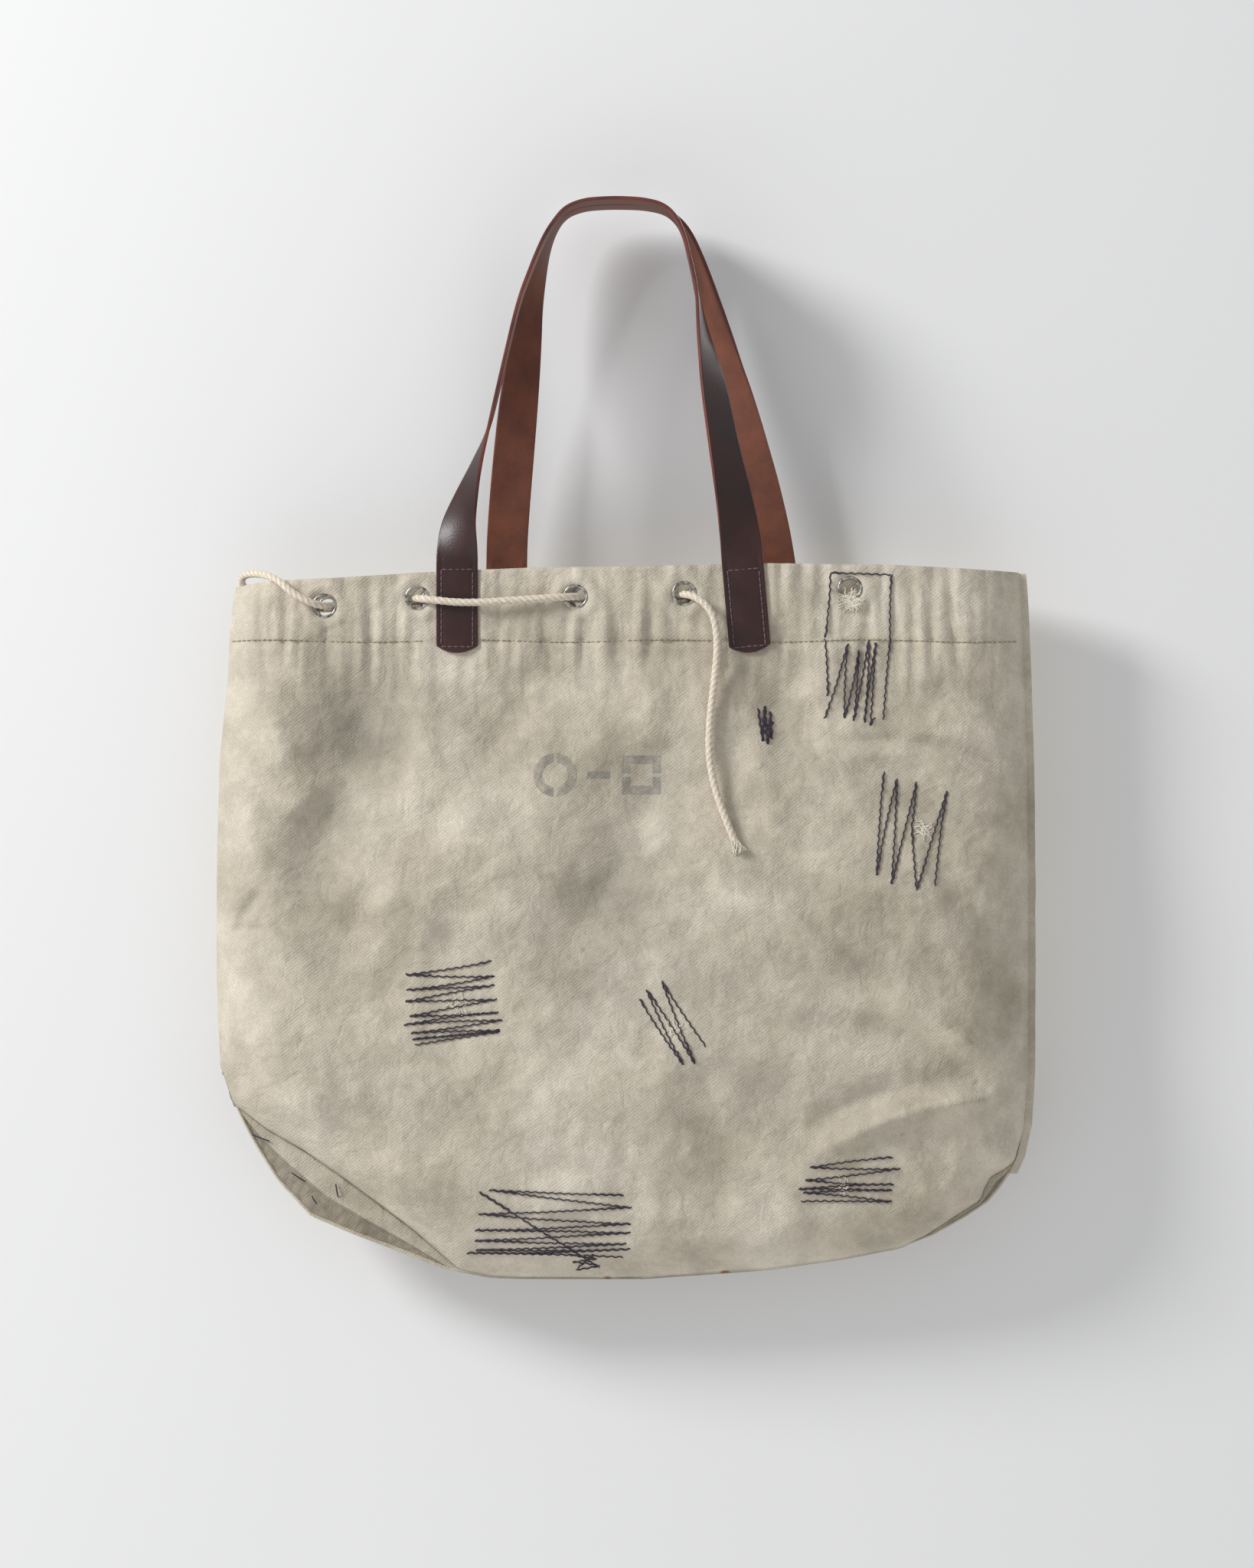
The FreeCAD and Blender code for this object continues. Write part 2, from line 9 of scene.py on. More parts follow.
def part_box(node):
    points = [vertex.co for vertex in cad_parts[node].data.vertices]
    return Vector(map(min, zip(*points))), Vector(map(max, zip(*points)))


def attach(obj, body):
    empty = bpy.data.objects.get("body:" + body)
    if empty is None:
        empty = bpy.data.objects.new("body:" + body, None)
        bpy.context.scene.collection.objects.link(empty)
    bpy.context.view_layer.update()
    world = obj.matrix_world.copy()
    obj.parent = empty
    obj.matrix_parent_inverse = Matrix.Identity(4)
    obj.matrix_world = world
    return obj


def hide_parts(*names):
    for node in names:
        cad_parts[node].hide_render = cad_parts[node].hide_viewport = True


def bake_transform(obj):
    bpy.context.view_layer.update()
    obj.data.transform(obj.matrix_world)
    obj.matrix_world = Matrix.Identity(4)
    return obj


# Canvas mail sack made into a tote. Lengths below are millimetres in the CAD frame unless a name says metres.
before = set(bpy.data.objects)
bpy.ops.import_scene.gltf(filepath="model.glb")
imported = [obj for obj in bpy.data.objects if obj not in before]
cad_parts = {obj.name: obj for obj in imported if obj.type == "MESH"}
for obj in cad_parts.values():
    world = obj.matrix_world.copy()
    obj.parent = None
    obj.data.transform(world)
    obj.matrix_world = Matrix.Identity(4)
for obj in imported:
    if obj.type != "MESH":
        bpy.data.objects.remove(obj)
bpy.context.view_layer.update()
mm = 0.001
random.seed(74)

# the camera comes first, square on to the front
view = {"x": 5.8, "z": -360.6, "away": 3020.0, "lens": 137.3, "sensor": 36.0}
cameraPlace = (view["x"] * mm, -view["away"] * mm, view["z"] * mm)
bpy.ops.object.camera_add(location=cameraPlace, rotation=(math.pi / 2, 0, 0))
camera = bpy.context.object
camera.data.sensor_fit = "HORIZONTAL"
camera.data.sensor_width = view["sensor"]
camera.data.lens = view["lens"]
bpy.context.scene.camera = camera
bpy.context.scene.view_settings.view_transform = "Standard"


def hexColour(text):
    # sRGB hex to linear
    parts = [int(text[i : i + 2], 16) / 255 for i in (1, 3, 5)]
    return tuple(p / 12.92 if p <= 0.04045 else ((p + 0.055) / 1.055) ** 2.4 for p in parts) + (1.0,)


def feed(tree, socket, value):
    # a socket takes a plain value or the output of another node, as (node, output)
    if isinstance(value, tuple) and len(value) == 2 and hasattr(value[0], "outputs"):
        tree.links.new(value[0].outputs[value[1]], socket)
    else:
        socket.default_value = value


def addNode(tree, kind, inputs=None, **settings):
    # one shader node with its settings and inputs
    node = tree.nodes.new("ShaderNode" + kind)
    for name, value in settings.items():
        setattr(node, name, value)
    for name, value in (inputs or {}).items():
        feed(tree, node.inputs[name], value)
    return node


def newMaterial(name, roughness, inputs=None):
    mat = bpy.data.materials.new(name)
    mat.use_nodes = True
    tree = mat.node_tree
    tree.nodes.clear()
    surface = addNode(tree, "BsdfPrincipled", {"Roughness": roughness, **(inputs or {})})
    addNode(tree, "OutputMaterial", {"Surface": (surface, "BSDF")})
    return mat, tree, surface


def objectPlace(tree):
    return (addNode(tree, "TexCoord"), "Object")


def noiseNode(tree, place, scale, detail, roughness=0.5, distortion=0.0):
    return addNode(tree, "TexNoise", {"Vector": place, "Scale": scale, "Detail": detail,
                   "Roughness": roughness, "Distortion": distortion})


def bumpNode(tree, height, strength, distance, under=None):
    # under is the bump that this one is added to
    inputs = {"Height": height, "Strength": strength, "Distance": distance}
    if under:
        inputs["Normal"] = (under, "Normal")
    return addNode(tree, "Bump", inputs)


def ramp(tree, source, stops):
    # a colour ramp fed by (node, output)
    node = addNode(tree, "ValToRGB", {"Fac": source})
    band = node.color_ramp
    while len(band.elements) < len(stops):
        band.elements.new(0.5)
    for element, (place, colour) in zip(band.elements, stops):
        element.position = place
        element.color = hexColour(colour) if isinstance(colour, str) else (colour, colour, colour, 1.0)
    return node


def mixColour(tree, fac, a, b, blend="MIX"):
    # inputs 0, 6 and 7 of a colour mix are its share and its two colours; output 2 is the result
    return addNode(tree, "Mix", {0: fac, 6: a, 7: b}, data_type="RGBA", blend_type=blend)


def finishPiece(obj, name, slotName, *nodes):
    obj.name = name
    obj.data.name = name
    if nodes:
        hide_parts(*nodes)


def pick(obj):
    # selects obj alone and makes it the active one
    bpy.ops.object.select_all(action="DESELECT")
    obj.select_set(True)
    bpy.context.view_layer.objects.active = obj


def setPoints(obj, points):
    obj.data.vertices.foreach_set("co", np.asarray(points, np.float32).ravel())
    obj.data.update()


def gridPiece(columns, rows):
    # a flat grid, ready to be laid on a form
    bpy.ops.mesh.primitive_grid_add(x_subdivisions=columns, y_subdivisions=rows, size=2.0, location=(0, 0, 0))
    return bpy.context.object


def gridShares(obj):
    # where each point of a grid lies: -1 to 1 across, 0 to 1 down
    co = np.empty(len(obj.data.vertices) * 3)
    obj.data.vertices.foreach_get("co", co)
    co = co.reshape(-1, 3)
    return co[:, 0], (1.0 - co[:, 1]) / 2.0


def applyModifier(obj, kind, **settings):
    pick(obj)
    mod = obj.modifiers.new("finish", kind)
    for name, value in settings.items():
        setattr(mod, name, value)
    bpy.ops.object.modifier_apply(modifier=mod.name)


def smooth(obj, degrees=None):
    pick(obj)
    if degrees is None:
        bpy.ops.object.shade_smooth()
    else:
        bpy.ops.object.shade_smooth_by_angle(angle=math.radians(degrees))


def useMaterials(obj, *mats):
    obj.data.materials.clear()
    for mat in mats:
        obj.data.materials.append(mat)


cordLook = {"diameter": 0.0048, "lobes": 3, "around": 18, "pitch": 0.0125, "step": 0.0011, "depth": 0.16}
# the drawstring's route, in metres, from the knot behind to the cut end in front
cordRoute = [
    (0.072, 0.0284, -0.2435), (0.0572, 0.027, -0.2414), (0.0472, 0.0146, -0.2408), (0.026, 0.0136, -0.2424),
    (0.004, 0.013, -0.2446), (-0.017, 0.0146, -0.2434), (-0.027, 0.027, -0.243), (-0.052, 0.0286, -0.2452),
    (-0.083, 0.0288, -0.2464), (-0.1126, 0.027, -0.2442), (-0.1226, 0.0146, -0.2438),
    (-0.150, 0.0134, -0.2472), (-0.179, 0.0146, -0.2488), (-0.189, 0.027, -0.2492),
    (-0.208, 0.0284, -0.2494), (-0.226, 0.026, -0.2446), (-0.2386, 0.0166, -0.2356),
    (-0.2378, 0.003, -0.2288), (-0.2275, -0.0096, -0.2278), (-0.214, -0.023, -0.2314),
    (-0.2034, -0.028, -0.2416), (-0.1886, -0.027, -0.2488), (-0.1786, -0.0146, -0.2488),
    (-0.155, -0.0132, -0.2474), (-0.1306, -0.0146, -0.2438), (-0.1206, -0.027, -0.2448),
    (-0.096, -0.0288, -0.2476), (-0.064, -0.028, -0.2456), (-0.0315, -0.027, -0.2432),
    (-0.0215, -0.0146, -0.2432), (0.007, -0.0132, -0.2446), (0.0368, -0.0146, -0.2414),
    (0.0468, -0.0272, -0.242), (0.0586, -0.0304, -0.251), (0.0626, -0.0304, -0.268),
    (0.0614, -0.0296, -0.290), (0.0578, -0.0296, -0.316), (0.0566, -0.0312, -0.344),
    (0.0624, -0.0332, -0.371), (0.073, -0.0348, -0.396),
]


def routeLine(points):
    # the smooth line that a NURBS spline makes of the route
    curve = bpy.data.curves.new("cordRoute", "CURVE")
    curve.dimensions = "3D"
    curve.resolution_u = 12
    spline = curve.splines.new("NURBS")
    spline.points.add(len(points) - 1)
    for point, place in zip(spline.points, points):
        point.co = (*place, 1.0)
    spline.order_u = 3
    spline.use_endpoint_u = True
    holder = bpy.data.objects.new("cordRoute", curve)
    bpy.context.scene.collection.objects.link(holder)
    bpy.context.view_layer.update()
    mesh = bpy.data.meshes.new_from_object(holder)
    line = [Vector(v.co) for v in mesh.vertices]
    bpy.data.objects.remove(holder)
    bpy.data.meshes.remove(mesh)
    return line


def evenLine(line, step):
    # the same line at even steps
    lengths = np.concatenate([[0], np.cumsum([(b - a).length for a, b in zip(line, line[1:])])])
    wanted = np.linspace(0, lengths[-1], int(lengths[-1] / step) + 1)
    co = np.array([tuple(p) for p in line])
    even = np.stack([np.interp(wanted, lengths, co[:, i]) for i in range(3)], 1)
    return [Vector(p) for p in even], float(lengths[-1])


def sideways(line):
    # a steady cross direction along a line, with no sudden turns
    tangents = [(line[min(i + 1, len(line) - 1)] - line[max(i - 1, 0)]).normalized() for i in range(len(line))]
    normal = tangents[0].orthogonal().normalized()
    frames = []
    for tangent in tangents:
        normal = (normal - tangent * normal.dot(tangent)).normalized()
        frames.append((tangent, normal, tangent.cross(normal)))
    return frames


def tubeMesh(name, line, radiusAt, around):
    # a closed tube round a line; radiusAt(angle share, distance) gives its surface
    verts, faces, twists = [], [], []
    gone = 0.0
    for i, (place, (tangent, normal, other)) in enumerate(zip(line, sideways(line))):
        if i:
            gone += (line[i] - line[i - 1]).length
        for j in range(around):
            turn = 2 * math.pi * j / around
            verts.append(place + (normal * math.cos(turn) + other * math.sin(turn)) * radiusAt(turn, gone))
            twists.append(math.cos(cordLook["lobes"] * 2 * math.pi * (j / around - gone / cordLook["pitch"])))
    for i in range(len(line) - 1):
        for j in range(around):
            a, b = i * around + j, i * around + (j + 1) % around
            faces.append((a, b, b + around, a + around))
    faces.append(tuple(reversed(range(around))))
    last = (len(line) - 1) * around
    faces.append(tuple(last + j for j in range(around)))
    mesh = bpy.data.meshes.new(name)
    mesh.from_pydata([tuple(v) for v in verts], [], faces)
    # the material paints shade into the lay between the strands by this
    mesh.attributes.new("twist", "FLOAT", "POINT").data.foreach_set("value", twists)
    obj = bpy.data.objects.new(name, mesh)
    bpy.context.scene.collection.objects.link(obj)
    smooth(obj)
    return obj


cordLine, cordLength = evenLine(routeLine(cordRoute), cordLook["step"])


def cordRadius(turn, gone):
    # three laid strands, each showing as a rounded ridge that winds round the cord
    lobe = abs(math.cos(cordLook["lobes"] / 2 * (turn - 2 * math.pi * gone / cordLook["pitch"])))
    wear = 0.03 * noise.noise(Vector((gone * 160, turn, 0)))
    return cordLook["diameter"] / 2 * (1.0 - cordLook["depth"] * (1 - lobe) ** 1.5 + wear)


drawstring = tubeMesh("drawstring_cord", cordLine, cordRadius, cordLook["around"])
print("stage: drawstring", round(cordLength, 3), "m")


# the sack's outline seen from the front, as x and z, and its half depth at each height
sackForm = {
    "mouth": [(-241, -236.5), (-225, -234), (-210.6, -232.7), (-180, -231.5), (-152.4, -229.8),
              (-112.5, -227.4), (-53, -224.8), (16.8, -224), (86.5, -222.1), (170.2, -223.1),
              (253.4, -227.3)],
    "left": [(-241, -236.5), (-244.6, -256), (-245.2, -270), (-246.2, -294), (-251.4, -345),
             (-253.2, -414), (-253.2, -485), (-251, -537.5)],
    "right": [(253.4, -227.3), (254.8, -240), (256, -269), (257, -292), (258.8, -349), (259.6, -414),
              (259.6, -485), (259.4, -541.3)],
    "front": [(-251, -537.5), (-242.3, -563), (-221.6, -578.8), (-199, -591.8), (-175.5, -607.7),
              (-151.4, -625.5), (-127.4, -643.8), (-100.5, -667.3), (-80, -671.4), (-56.7, -672.2),
              (16.8, -672.2), (92.8, -666.8), (141.8, -660.1), (178.8, -652.9), (194.7, -645.7),
              (215.4, -632.2), (228.8, -623.6), (231.3, -616.3), (235.7, -608.7), (243.7, -604.3),
              (250.4, -599.4), (256.6, -577.9), (259.4, -541.3)],
    "outer": [(-251, -537.5), (-245, -556), (-236.5, -574.5), (-227.9, -590.5), (-214.9, -611.1),
              (-194.2, -633.2), (-167.3, -644.8), (-135.6, -656.8), (-111.5, -666.4), (-80, -672),
              (-56.7, -672.5), (16.8, -672.5), (92.8, -667.3), (141.8, -660.6), (178.8, -653.4),
              (198.7, -645.7), (219.4, -634.2), (233.8, -624.6), (241, -616), (248, -606), (253, -595),
              (257.4, -575), (259.4, -541.3)],
    "depth": [(-200, 22), (-290, 22), (-320, 24), (-372, 28), (-430, 31), (-500, 33), (-560, 32),
              (-600, 27.5), (-630, 22), (-655, 15), (-680, 9)],
    "sideRound": 50.0, "bottomRound": 26.0, "thickness": 1.2, "stitchLine": -271.0, "hemFold": -285.0,
    "middleX": 8,
}

# eyelet centres, worked out from the CAD nodes
eyelets = []
for side, face in (("front", -22.0), ("back", 22.0)):  # face is the hem's height
    for number in range(1, 6):
        low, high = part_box(f"{side}_eyelet_{number}")
        eyelets.append((side, number, (low.x + high.x) / 2 / mm, face, (low.z + high.z) / 2 / mm))
rings = {side: [(e[2], e[4]) for e in eyelets if e[0] == side] for side in ("front", "back")}

# soft folds and creases: start x, z, end x, z, width, height outwards
frontFolds = [
    (-158, -300, -205, -430, 30, -5.0), (30, -340, -40, -470, 30, -4.2), (-150, -436, -112, -452, 16, 2.6),
    (150, -333, 240, -349, 6, -2.2), (150, -342, 236, -357, 8, 1.4), (70, -430, 142, -472, 9, 2.4),
    (64, -442, 132, -486, 10, -1.8), (165, -497, 242, -538, 10, 3.0), (158, -512, 230, -552, 11, -2.4),
    (132, -587, 234, -557, 9, 3.6), (120, -574, 226, -544, 10, -2.0), (-252, -455, -222, -452, 3.5, -1.6),
    (-244, -464, -224, -428, 3.5, -1.5), (-235, -300, -205, -350, 14, 2.4),
    (-120, -290, -128, -380, 20, 2.0), (-60, -290, -80, -345, 14, -1.6), (20, -292, 12, -345, 12, 1.6),
    (90, -290, 110, -350, 14, -2.0), (128, -292, 150, -330, 10, 1.2), (-230, -505, -180, -560, 20, 2.2),
    (-215, -530, -150, -600, 12, -1.8), (-60, -560, 40, -600, 26, 2.2), (0, -390, 90, -420, 22, 2.0),
    (110, -400, 210, -450, 24, 1.8), (-110, -380, -60, -420, 18, 1.6), (-210, -380, -150, -350, 16, 1.6),
    (190, -300, 252, -318, 9, -1.4), (200, -430, 255, -470, 16, -1.8), (236, -592, 222, -612, 6, 2.0),
    (240, -570, 250, -596, 6, -1.6), (40, -545, 110, -560, 12, -1.4), (-240, -520, -222, -556, 8, -1.6),
    (-30, -480, 20, -530, 20, -1.6), (86, -340, 100, -400, 12, 1.3), (-10, -600, 90, -628, 16, -1.6),
    (-190, -470, -140, -500, 16, -1.3),
]
backFolds = [
    (-200, -310, -150, -450, 30, 3.5), (-80, -300, -40, -430, 28, -3.5), (60, -310, 20, -460, 26, 3.0),
    (160, -300, 190, -440, 24, -3.0), (-220, -480, -100, -540, 16, 2.6), (40, -500, 200, -560, 18, -2.6),
    (-160, -560, 60, -585, 14, 2.0), (200, -380, 240, -500, 16, 2.0), (-30, -450, 70, -520, 20, 2.0),
]
folds = {"front": frontFolds, "back": backFolds}


def alongLine(points, shares):
    # points at even shares of a broken line's length
    pts = np.array(points, float)
    gone = np.concatenate([[0], np.cumsum(np.hypot(*np.diff(pts, axis=0).T))])
    wanted = np.asarray(shares) * gone[-1]
    return np.interp(wanted, gone, pts[:, 0]), np.interp(wanted, gone, pts[:, 1])


def inFromEdge(x, z, edge):
    # distance from a broken line
    pts = np.array(edge, float)
    best = np.full(x.shape, 1e9)
    for a, b in zip(pts, pts[1:]):
        d = b - a
        t = np.clip(((x - a[0]) * d[0] + (z - a[1]) * d[1]) / (d @ d), 0, 1)
        best = np.minimum(best, np.hypot(x - a[0] - t * d[0], z - a[1] - t * d[1]))
    return best


def eased(x, low, high):
    t = np.clip((x - low) / (high - low), 0, 1)
    return t * t * (3 - 2 * t)


def foldHeight(x, z, folds):
    # each fold is a soft ridge or valley along a line, fading at its ends
    total = np.zeros(x.shape)
    for ax, az, bx, bz, width, height in folds:
        d = np.array([bx - ax, bz - az], float)
        length = np.hypot(*d)
        d /= length
        along = (x - ax) * d[0] + (z - az) * d[1]
        bend = 0.06 * length * np.sin(along / length * math.pi)
        off = (x - ax) * -d[1] + (z - az) * d[0] - bend
        fade = eased(along, -0.25 * length, 0.25 * length) * (1 - eased(along, 0.75 * length, 1.25 * length))
        sharp = np.exp(-np.abs(off / width) ** 1.5)
        total += height * sharp * fade
    return total


# heights in millimetres
crumpleLook = {"seed": {"front": 1.7, "back": 8.3}, "size": 0.014, "ridge": 1.5, "fine": 0.8, "sharp": 1.0,
               "slow": 3.0}
# each wave: size along x and z, seed, height
puckerLook = {"seed": {"front": 2.0, "back": 6.0},
              "waves": [(0.075, 0.012, 0, 3.6), (0.17, 0.02, 5, 3.6), (0.33, 0.03, 9, 1.5)]}


def crumple(x, z, side):
    # fine creases in worn cotton: ridged noise at three sizes, and slow waves
    look = crumpleLook
    seed = look["seed"][side]
    out = np.empty(x.shape)
    for i, (px, pz) in enumerate(zip(x, z)):
        place = Vector((px * look["size"] + seed, pz * look["size"], seed * 0.3))
        ridge = noise.ridged_multi_fractal(place, 0.9, 2.1, 4, 1.0, 1.6)
        fine = noise.ridged_multi_fractal(place * 3.4 + Vector((7, 3, 1)), 0.8, 2.2, 3, 1.0, 1.8)
        slow = noise.noise(place * 0.55)
        sharp = noise.ridged_multi_fractal(place * 1.9 + Vector((2, 9, 4)), 1.2, 2.3, 5, 1.0, 2.2)
        out[i] = look["ridge"] * (ridge - 1.0) + look["fine"] * (fine - 1.0) + look["sharp"] * (sharp - 1.0)
        out[i] += look["slow"] * slow
    return out


def puckers(x, z, side):
    # the gathered hem: upright ripples, deepest at the stitches
    seed = puckerLook["seed"][side]
    out = np.empty(x.shape)
    for i, (px, pz) in enumerate(zip(x, z)):
        out[i] = sum(high * noise.noise(Vector((px * wide, pz * tall, seed + more)))
                     for wide, tall, more, high in puckerLook["waves"])
    band = eased(z, -326, -274) * (0.62 + 0.38 * (1 - np.abs(np.clip((z + 270) / 26, -1, 1))))
    return out * band


# tabs: middle, and how far it leans for each millimetre down; rings: where detail starts and is full, then
# the raised cloth round each; stitch: depth and half width; hemStep: the folded hem's edge, shown behind only
panelLook = {"tabs": {"front": ((-100.7, 0.0), (78.1, 0.0875)), "back": ((-70.7, -0.026), (100.0, 0.052))},
             "foldScale": 2.5, "hemCalm": 0.88, "pucker": 0.8, "ringFrom": 6.5, "ringTo": 15,
             "ringPad": (1.7, 12.0, 2.8), "tabHalf": (12.0, 17.5), "stitch": (1.0, 1.5),
             "hemStep": {"front": 0.0, "back": 0.3}}


def panelHeight(x, z, side):
    # how far a panel stands off the sack's middle plane
    look = panelLook
    form = sackForm
    edge = form["left"] + form["front" if side == "front" else "outer"][1:-1] + form["right"][::-1]
    inward = inFromEdge(x, z, edge)
    low = eased(-z, 560, 620)
    reach = form["sideRound"] * (1 - low) + form["bottomRound"] * low
    depthTable = np.array(sorted(form["depth"]), float)
    depth = np.interp(z, depthTable[:, 0], depthTable[:, 1])
    rounding = (1 - (1 - np.clip(inward / reach, 0, 1)) ** 2) ** 0.75
    flatHem = eased(z, -300, -286)
    loose = eased(inward, 1, 26)
    detail = look["foldScale"] * foldHeight(x, z, folds[side])
    detail += crumple(x, z, side)
    detail *= 1 - look["hemCalm"] * flatHem
    detail += puckers(x, z, side) * look["pucker"]
    padHeight, padMiddle, padWidth = look["ringPad"]
    for rx, rz in rings[side]:
        away = np.hypot(x - rx, z - rz)
        detail *= eased(away, look["ringFrom"], look["ringTo"])
        detail += padHeight * np.exp(-((away - padMiddle) / padWidth) ** 2)
    for tx, lean in look["tabs"][side]:
        across = np.abs(x - tx - lean * (-221.5 - z))
        detail *= 1 - (1 - eased(across, *look["tabHalf"])) * eased(z, -288, -281)
    # the row of stitches draws the cloth in, and the folded hem shows as a step
    pull, pullWidth = look["stitch"]
    detail -= pull * np.exp(-((z - form["stitchLine"] + 0.8 * np.sin(x * 0.05)) / pullWidth) ** 2)
    step = eased(z, form["hemFold"] - 2.0, form["hemFold"] + 1.5)
    return depth * rounding + (detail + 0.7 * step * look["hemStep"][side]) * loose


def panelPoints(s, t, side):
    # a patch between the mouth, the two sides and the bottom edge
    form = sackForm
    bottom = form["front" if side == "front" else "outer"]
    u = (s + 1) / 2
    mx, mz = alongLine(form["mouth"], u)
    bx, bz = alongLine(bottom, u)
    lx, lz = alongLine(form["left"], t)
    rx, rz = alongLine(form["right"], t)
    m, b = (*form["mouth"][0], *form["mouth"][-1]), (*bottom[0], *bottom[-1])
    x = (1 - t) * mx + t * bx + (1 - u) * lx + u * rx
    x -= (1 - u) * (1 - t) * m[0] + u * (1 - t) * m[2] + (1 - u) * t * b[0] + u * t * b[2]
    z = (1 - t) * mz + t * bz + (1 - u) * lz + u * rz
    z -= (1 - u) * (1 - t) * m[1] + u * (1 - t) * m[3] + (1 - u) * t * b[1] + u * t * b[3]
    return x, z


def edgeWeighted(s):
    # more columns towards the sides, where the cloth turns; knee is where they start to crowd
    a, knee, reached = np.abs(s), 0.85, 0.93
    crowded = 1 - (1 - np.clip((a - knee) / (1 - knee), 0, 1)) ** 2
    return np.sign(s) * np.where(a < knee, a * reached / knee, reached + (1 - reached) * crowded)


def blotches(x, z, spots):
    total = np.zeros(x.shape)
    for px, pz, wide, high, amount in spots:
        total += amount * np.exp(-((x - px) / wide) ** 2 - ((z - pz) / high) ** 2)
    return total


def storeShare(obj, name, values):
    attribute = obj.data.attributes.new(name, "FLOAT", "POINT")
    attribute.data.foreach_set("value", np.clip(values, -1, 2).astype(np.float32))


# dark patches, partly real stains and partly painted shade of the folds: middle x and z, width, height,
# strength
stainAndShadeSpots = [
    (-150, -320, 42, 34, 0.75), (-120, -560, 60, 30, 0.35), (40, -330, 40, 26, 0.30),
    (160, -470, 60, 26, 0.45), (100, -545, 46, 22, 0.55), (190, -585, 40, 16, 0.30),
    (150, -352, 40, 10, 0.40), (-205, -440, 24, 60, 0.25), (20, -445, 30, 60, 0.35),
    (-40, -640, 60, 16, 0.30), (60, -480, 50, 18, 0.30), (86, -409, 10, 20, 0.5), (40, -568, 50, 14, 0.5),
    (-235, -290, 12, 30, 0.3), (118, -505, 40, 10, 0.45), (-10, -415, 24, 40, 0.3),
]


holeLook = {"rim": 6.9, "drawn": 1.3, "cut": 6.75}


def clearHoles(x, z, places):
    # points near an eyelet are drawn to its hole's rim
    rim = holeLook["rim"]
    for rx, rz in places:
        away = np.hypot(x - rx, z - rz)
        near = np.abs(away - rim) < holeLook["drawn"]
        x = np.where(near, rx + (x - rx) / away * rim, x)
        z = np.where(near, rz + (z - rz) / away * rim, z)
    return x, z


def punchHoles(obj, places):
    # takes out the cloth inside each eyelet
    pick(obj)
    bpy.ops.object.mode_set(mode="EDIT")
    bpy.ops.mesh.select_mode(type="FACE")
    bpy.ops.mesh.select_all(action="DESELECT")
    bpy.ops.object.mode_set(mode="OBJECT")
    for face in obj.data.polygons:
        cx, cz = face.center.x / mm, face.center.z / mm
        face.select = any(math.hypot(cx - rx, cz - rz) < holeLook["cut"] for rx, rz in places)
    bpy.ops.object.mode_set(mode="EDIT")
    bpy.ops.mesh.delete(type="FACE")
    bpy.ops.object.mode_set(mode="OBJECT")


def finishCloth(obj, front, thickness, index=100):
    # turns the cloth's outer side away from the sack, and gives it its thickness inwards
    if front != (obj.data.polygons[index].normal.y < 0):
        obj.data.flip_normals()
    applyModifier(obj, "SOLIDIFY", thickness=thickness * mm, offset=-1.0)
    smooth(obj)
    return obj


# front and back: how strong the stain and painted shade patches are; valleys: how much painted shade for each
# millimetre of depth, and the most, for folds, creases and gathers
stainAndShadeLook = {"front": 0.72, "back": 0.4, "folds": (0.11, 0.5), "creases": (0.07, 0.4), "gathers": (0.16, 0.6)}


def buildPanel(side):
    front = side == "front"
    obj = gridPiece(228, 186)
    s, t = gridShares(obj)
    x, z = clearHoles(*panelPoints(edgeWeighted(s), t, side), rings[side])
    setPoints(obj, np.stack([x, (-1.0 if front else 1.0) * panelHeight(x, z, side), z], 1) * mm)
    soil = stainAndShadeLook[side] * blotches(x if front else -x, z, stainAndShadeSpots)
    # painted shade: the valleys of the folds, creases and gathers are darkened, on top of the stains
    shapes = (("folds", foldHeight(x, z, folds[side])), ("creases", crumple(x, z, side)),
              ("gathers", puckers(x, z, side)))
    for kind, height in shapes:
        share, most = stainAndShadeLook[kind]
        soil += np.clip(-height * share, 0, most)
    storeShare(obj, "soil", soil)
    punchHoles(obj, rings[side])
    return finishCloth(obj, front, sackForm["thickness"])


frontPanel = buildPanel("front")
backPanel = buildPanel("back")
print("stage: canvas panels")


# wide and deep are shares of the panel; gap is between the facing and the panel
facingLook = {"wide": 0.985, "deep": 0.127, "top": 0.0015, "gap": 0.15, "least": 0.25, "thickness": 1.05,
              "soil": 0.25}


def buildFacing(side):
    # the turned-in cloth behind the hem
    look = facingLook
    front = side == "front"
    obj = gridPiece(150, 22)
    s, t = gridShares(obj)
    x, z = panelPoints(edgeWeighted(s) * look["wide"], t * look["deep"] + look["top"], side)
    x, z = clearHoles(x, z, rings[side])
    height = np.maximum(panelHeight(x, z, side) - sackForm["thickness"] - look["gap"], look["least"])
    setPoints(obj, np.stack([x, (-1.0 if front else 1.0) * height, z], 1) * mm)
    storeShare(obj, "soil", np.full(x.shape, look["soil"]))
    punchHoles(obj, rings[side])
    return finishCloth(obj, front, look["thickness"])


frontFacing = buildFacing("front")
backFacing = buildFacing("back")

# turnUnder is the share of the folded strip that shows quilting, tuck how far the base draws in behind;
# round is the way round the base that the quilting is laid out on, in millimetres as the rest are
baseLook = {"rise": 60.0, "quilt": 12.0, "puff": 1.1, "stand": 1.5, "backShare": 0.74, "turnUnder": 0.46,
            "thickness": 0.9, "tuck": 0.10, "round": 620, "strip": 10, "lip": 0.6, "turnedOut": 2.9,
            "rumple": 1.6}


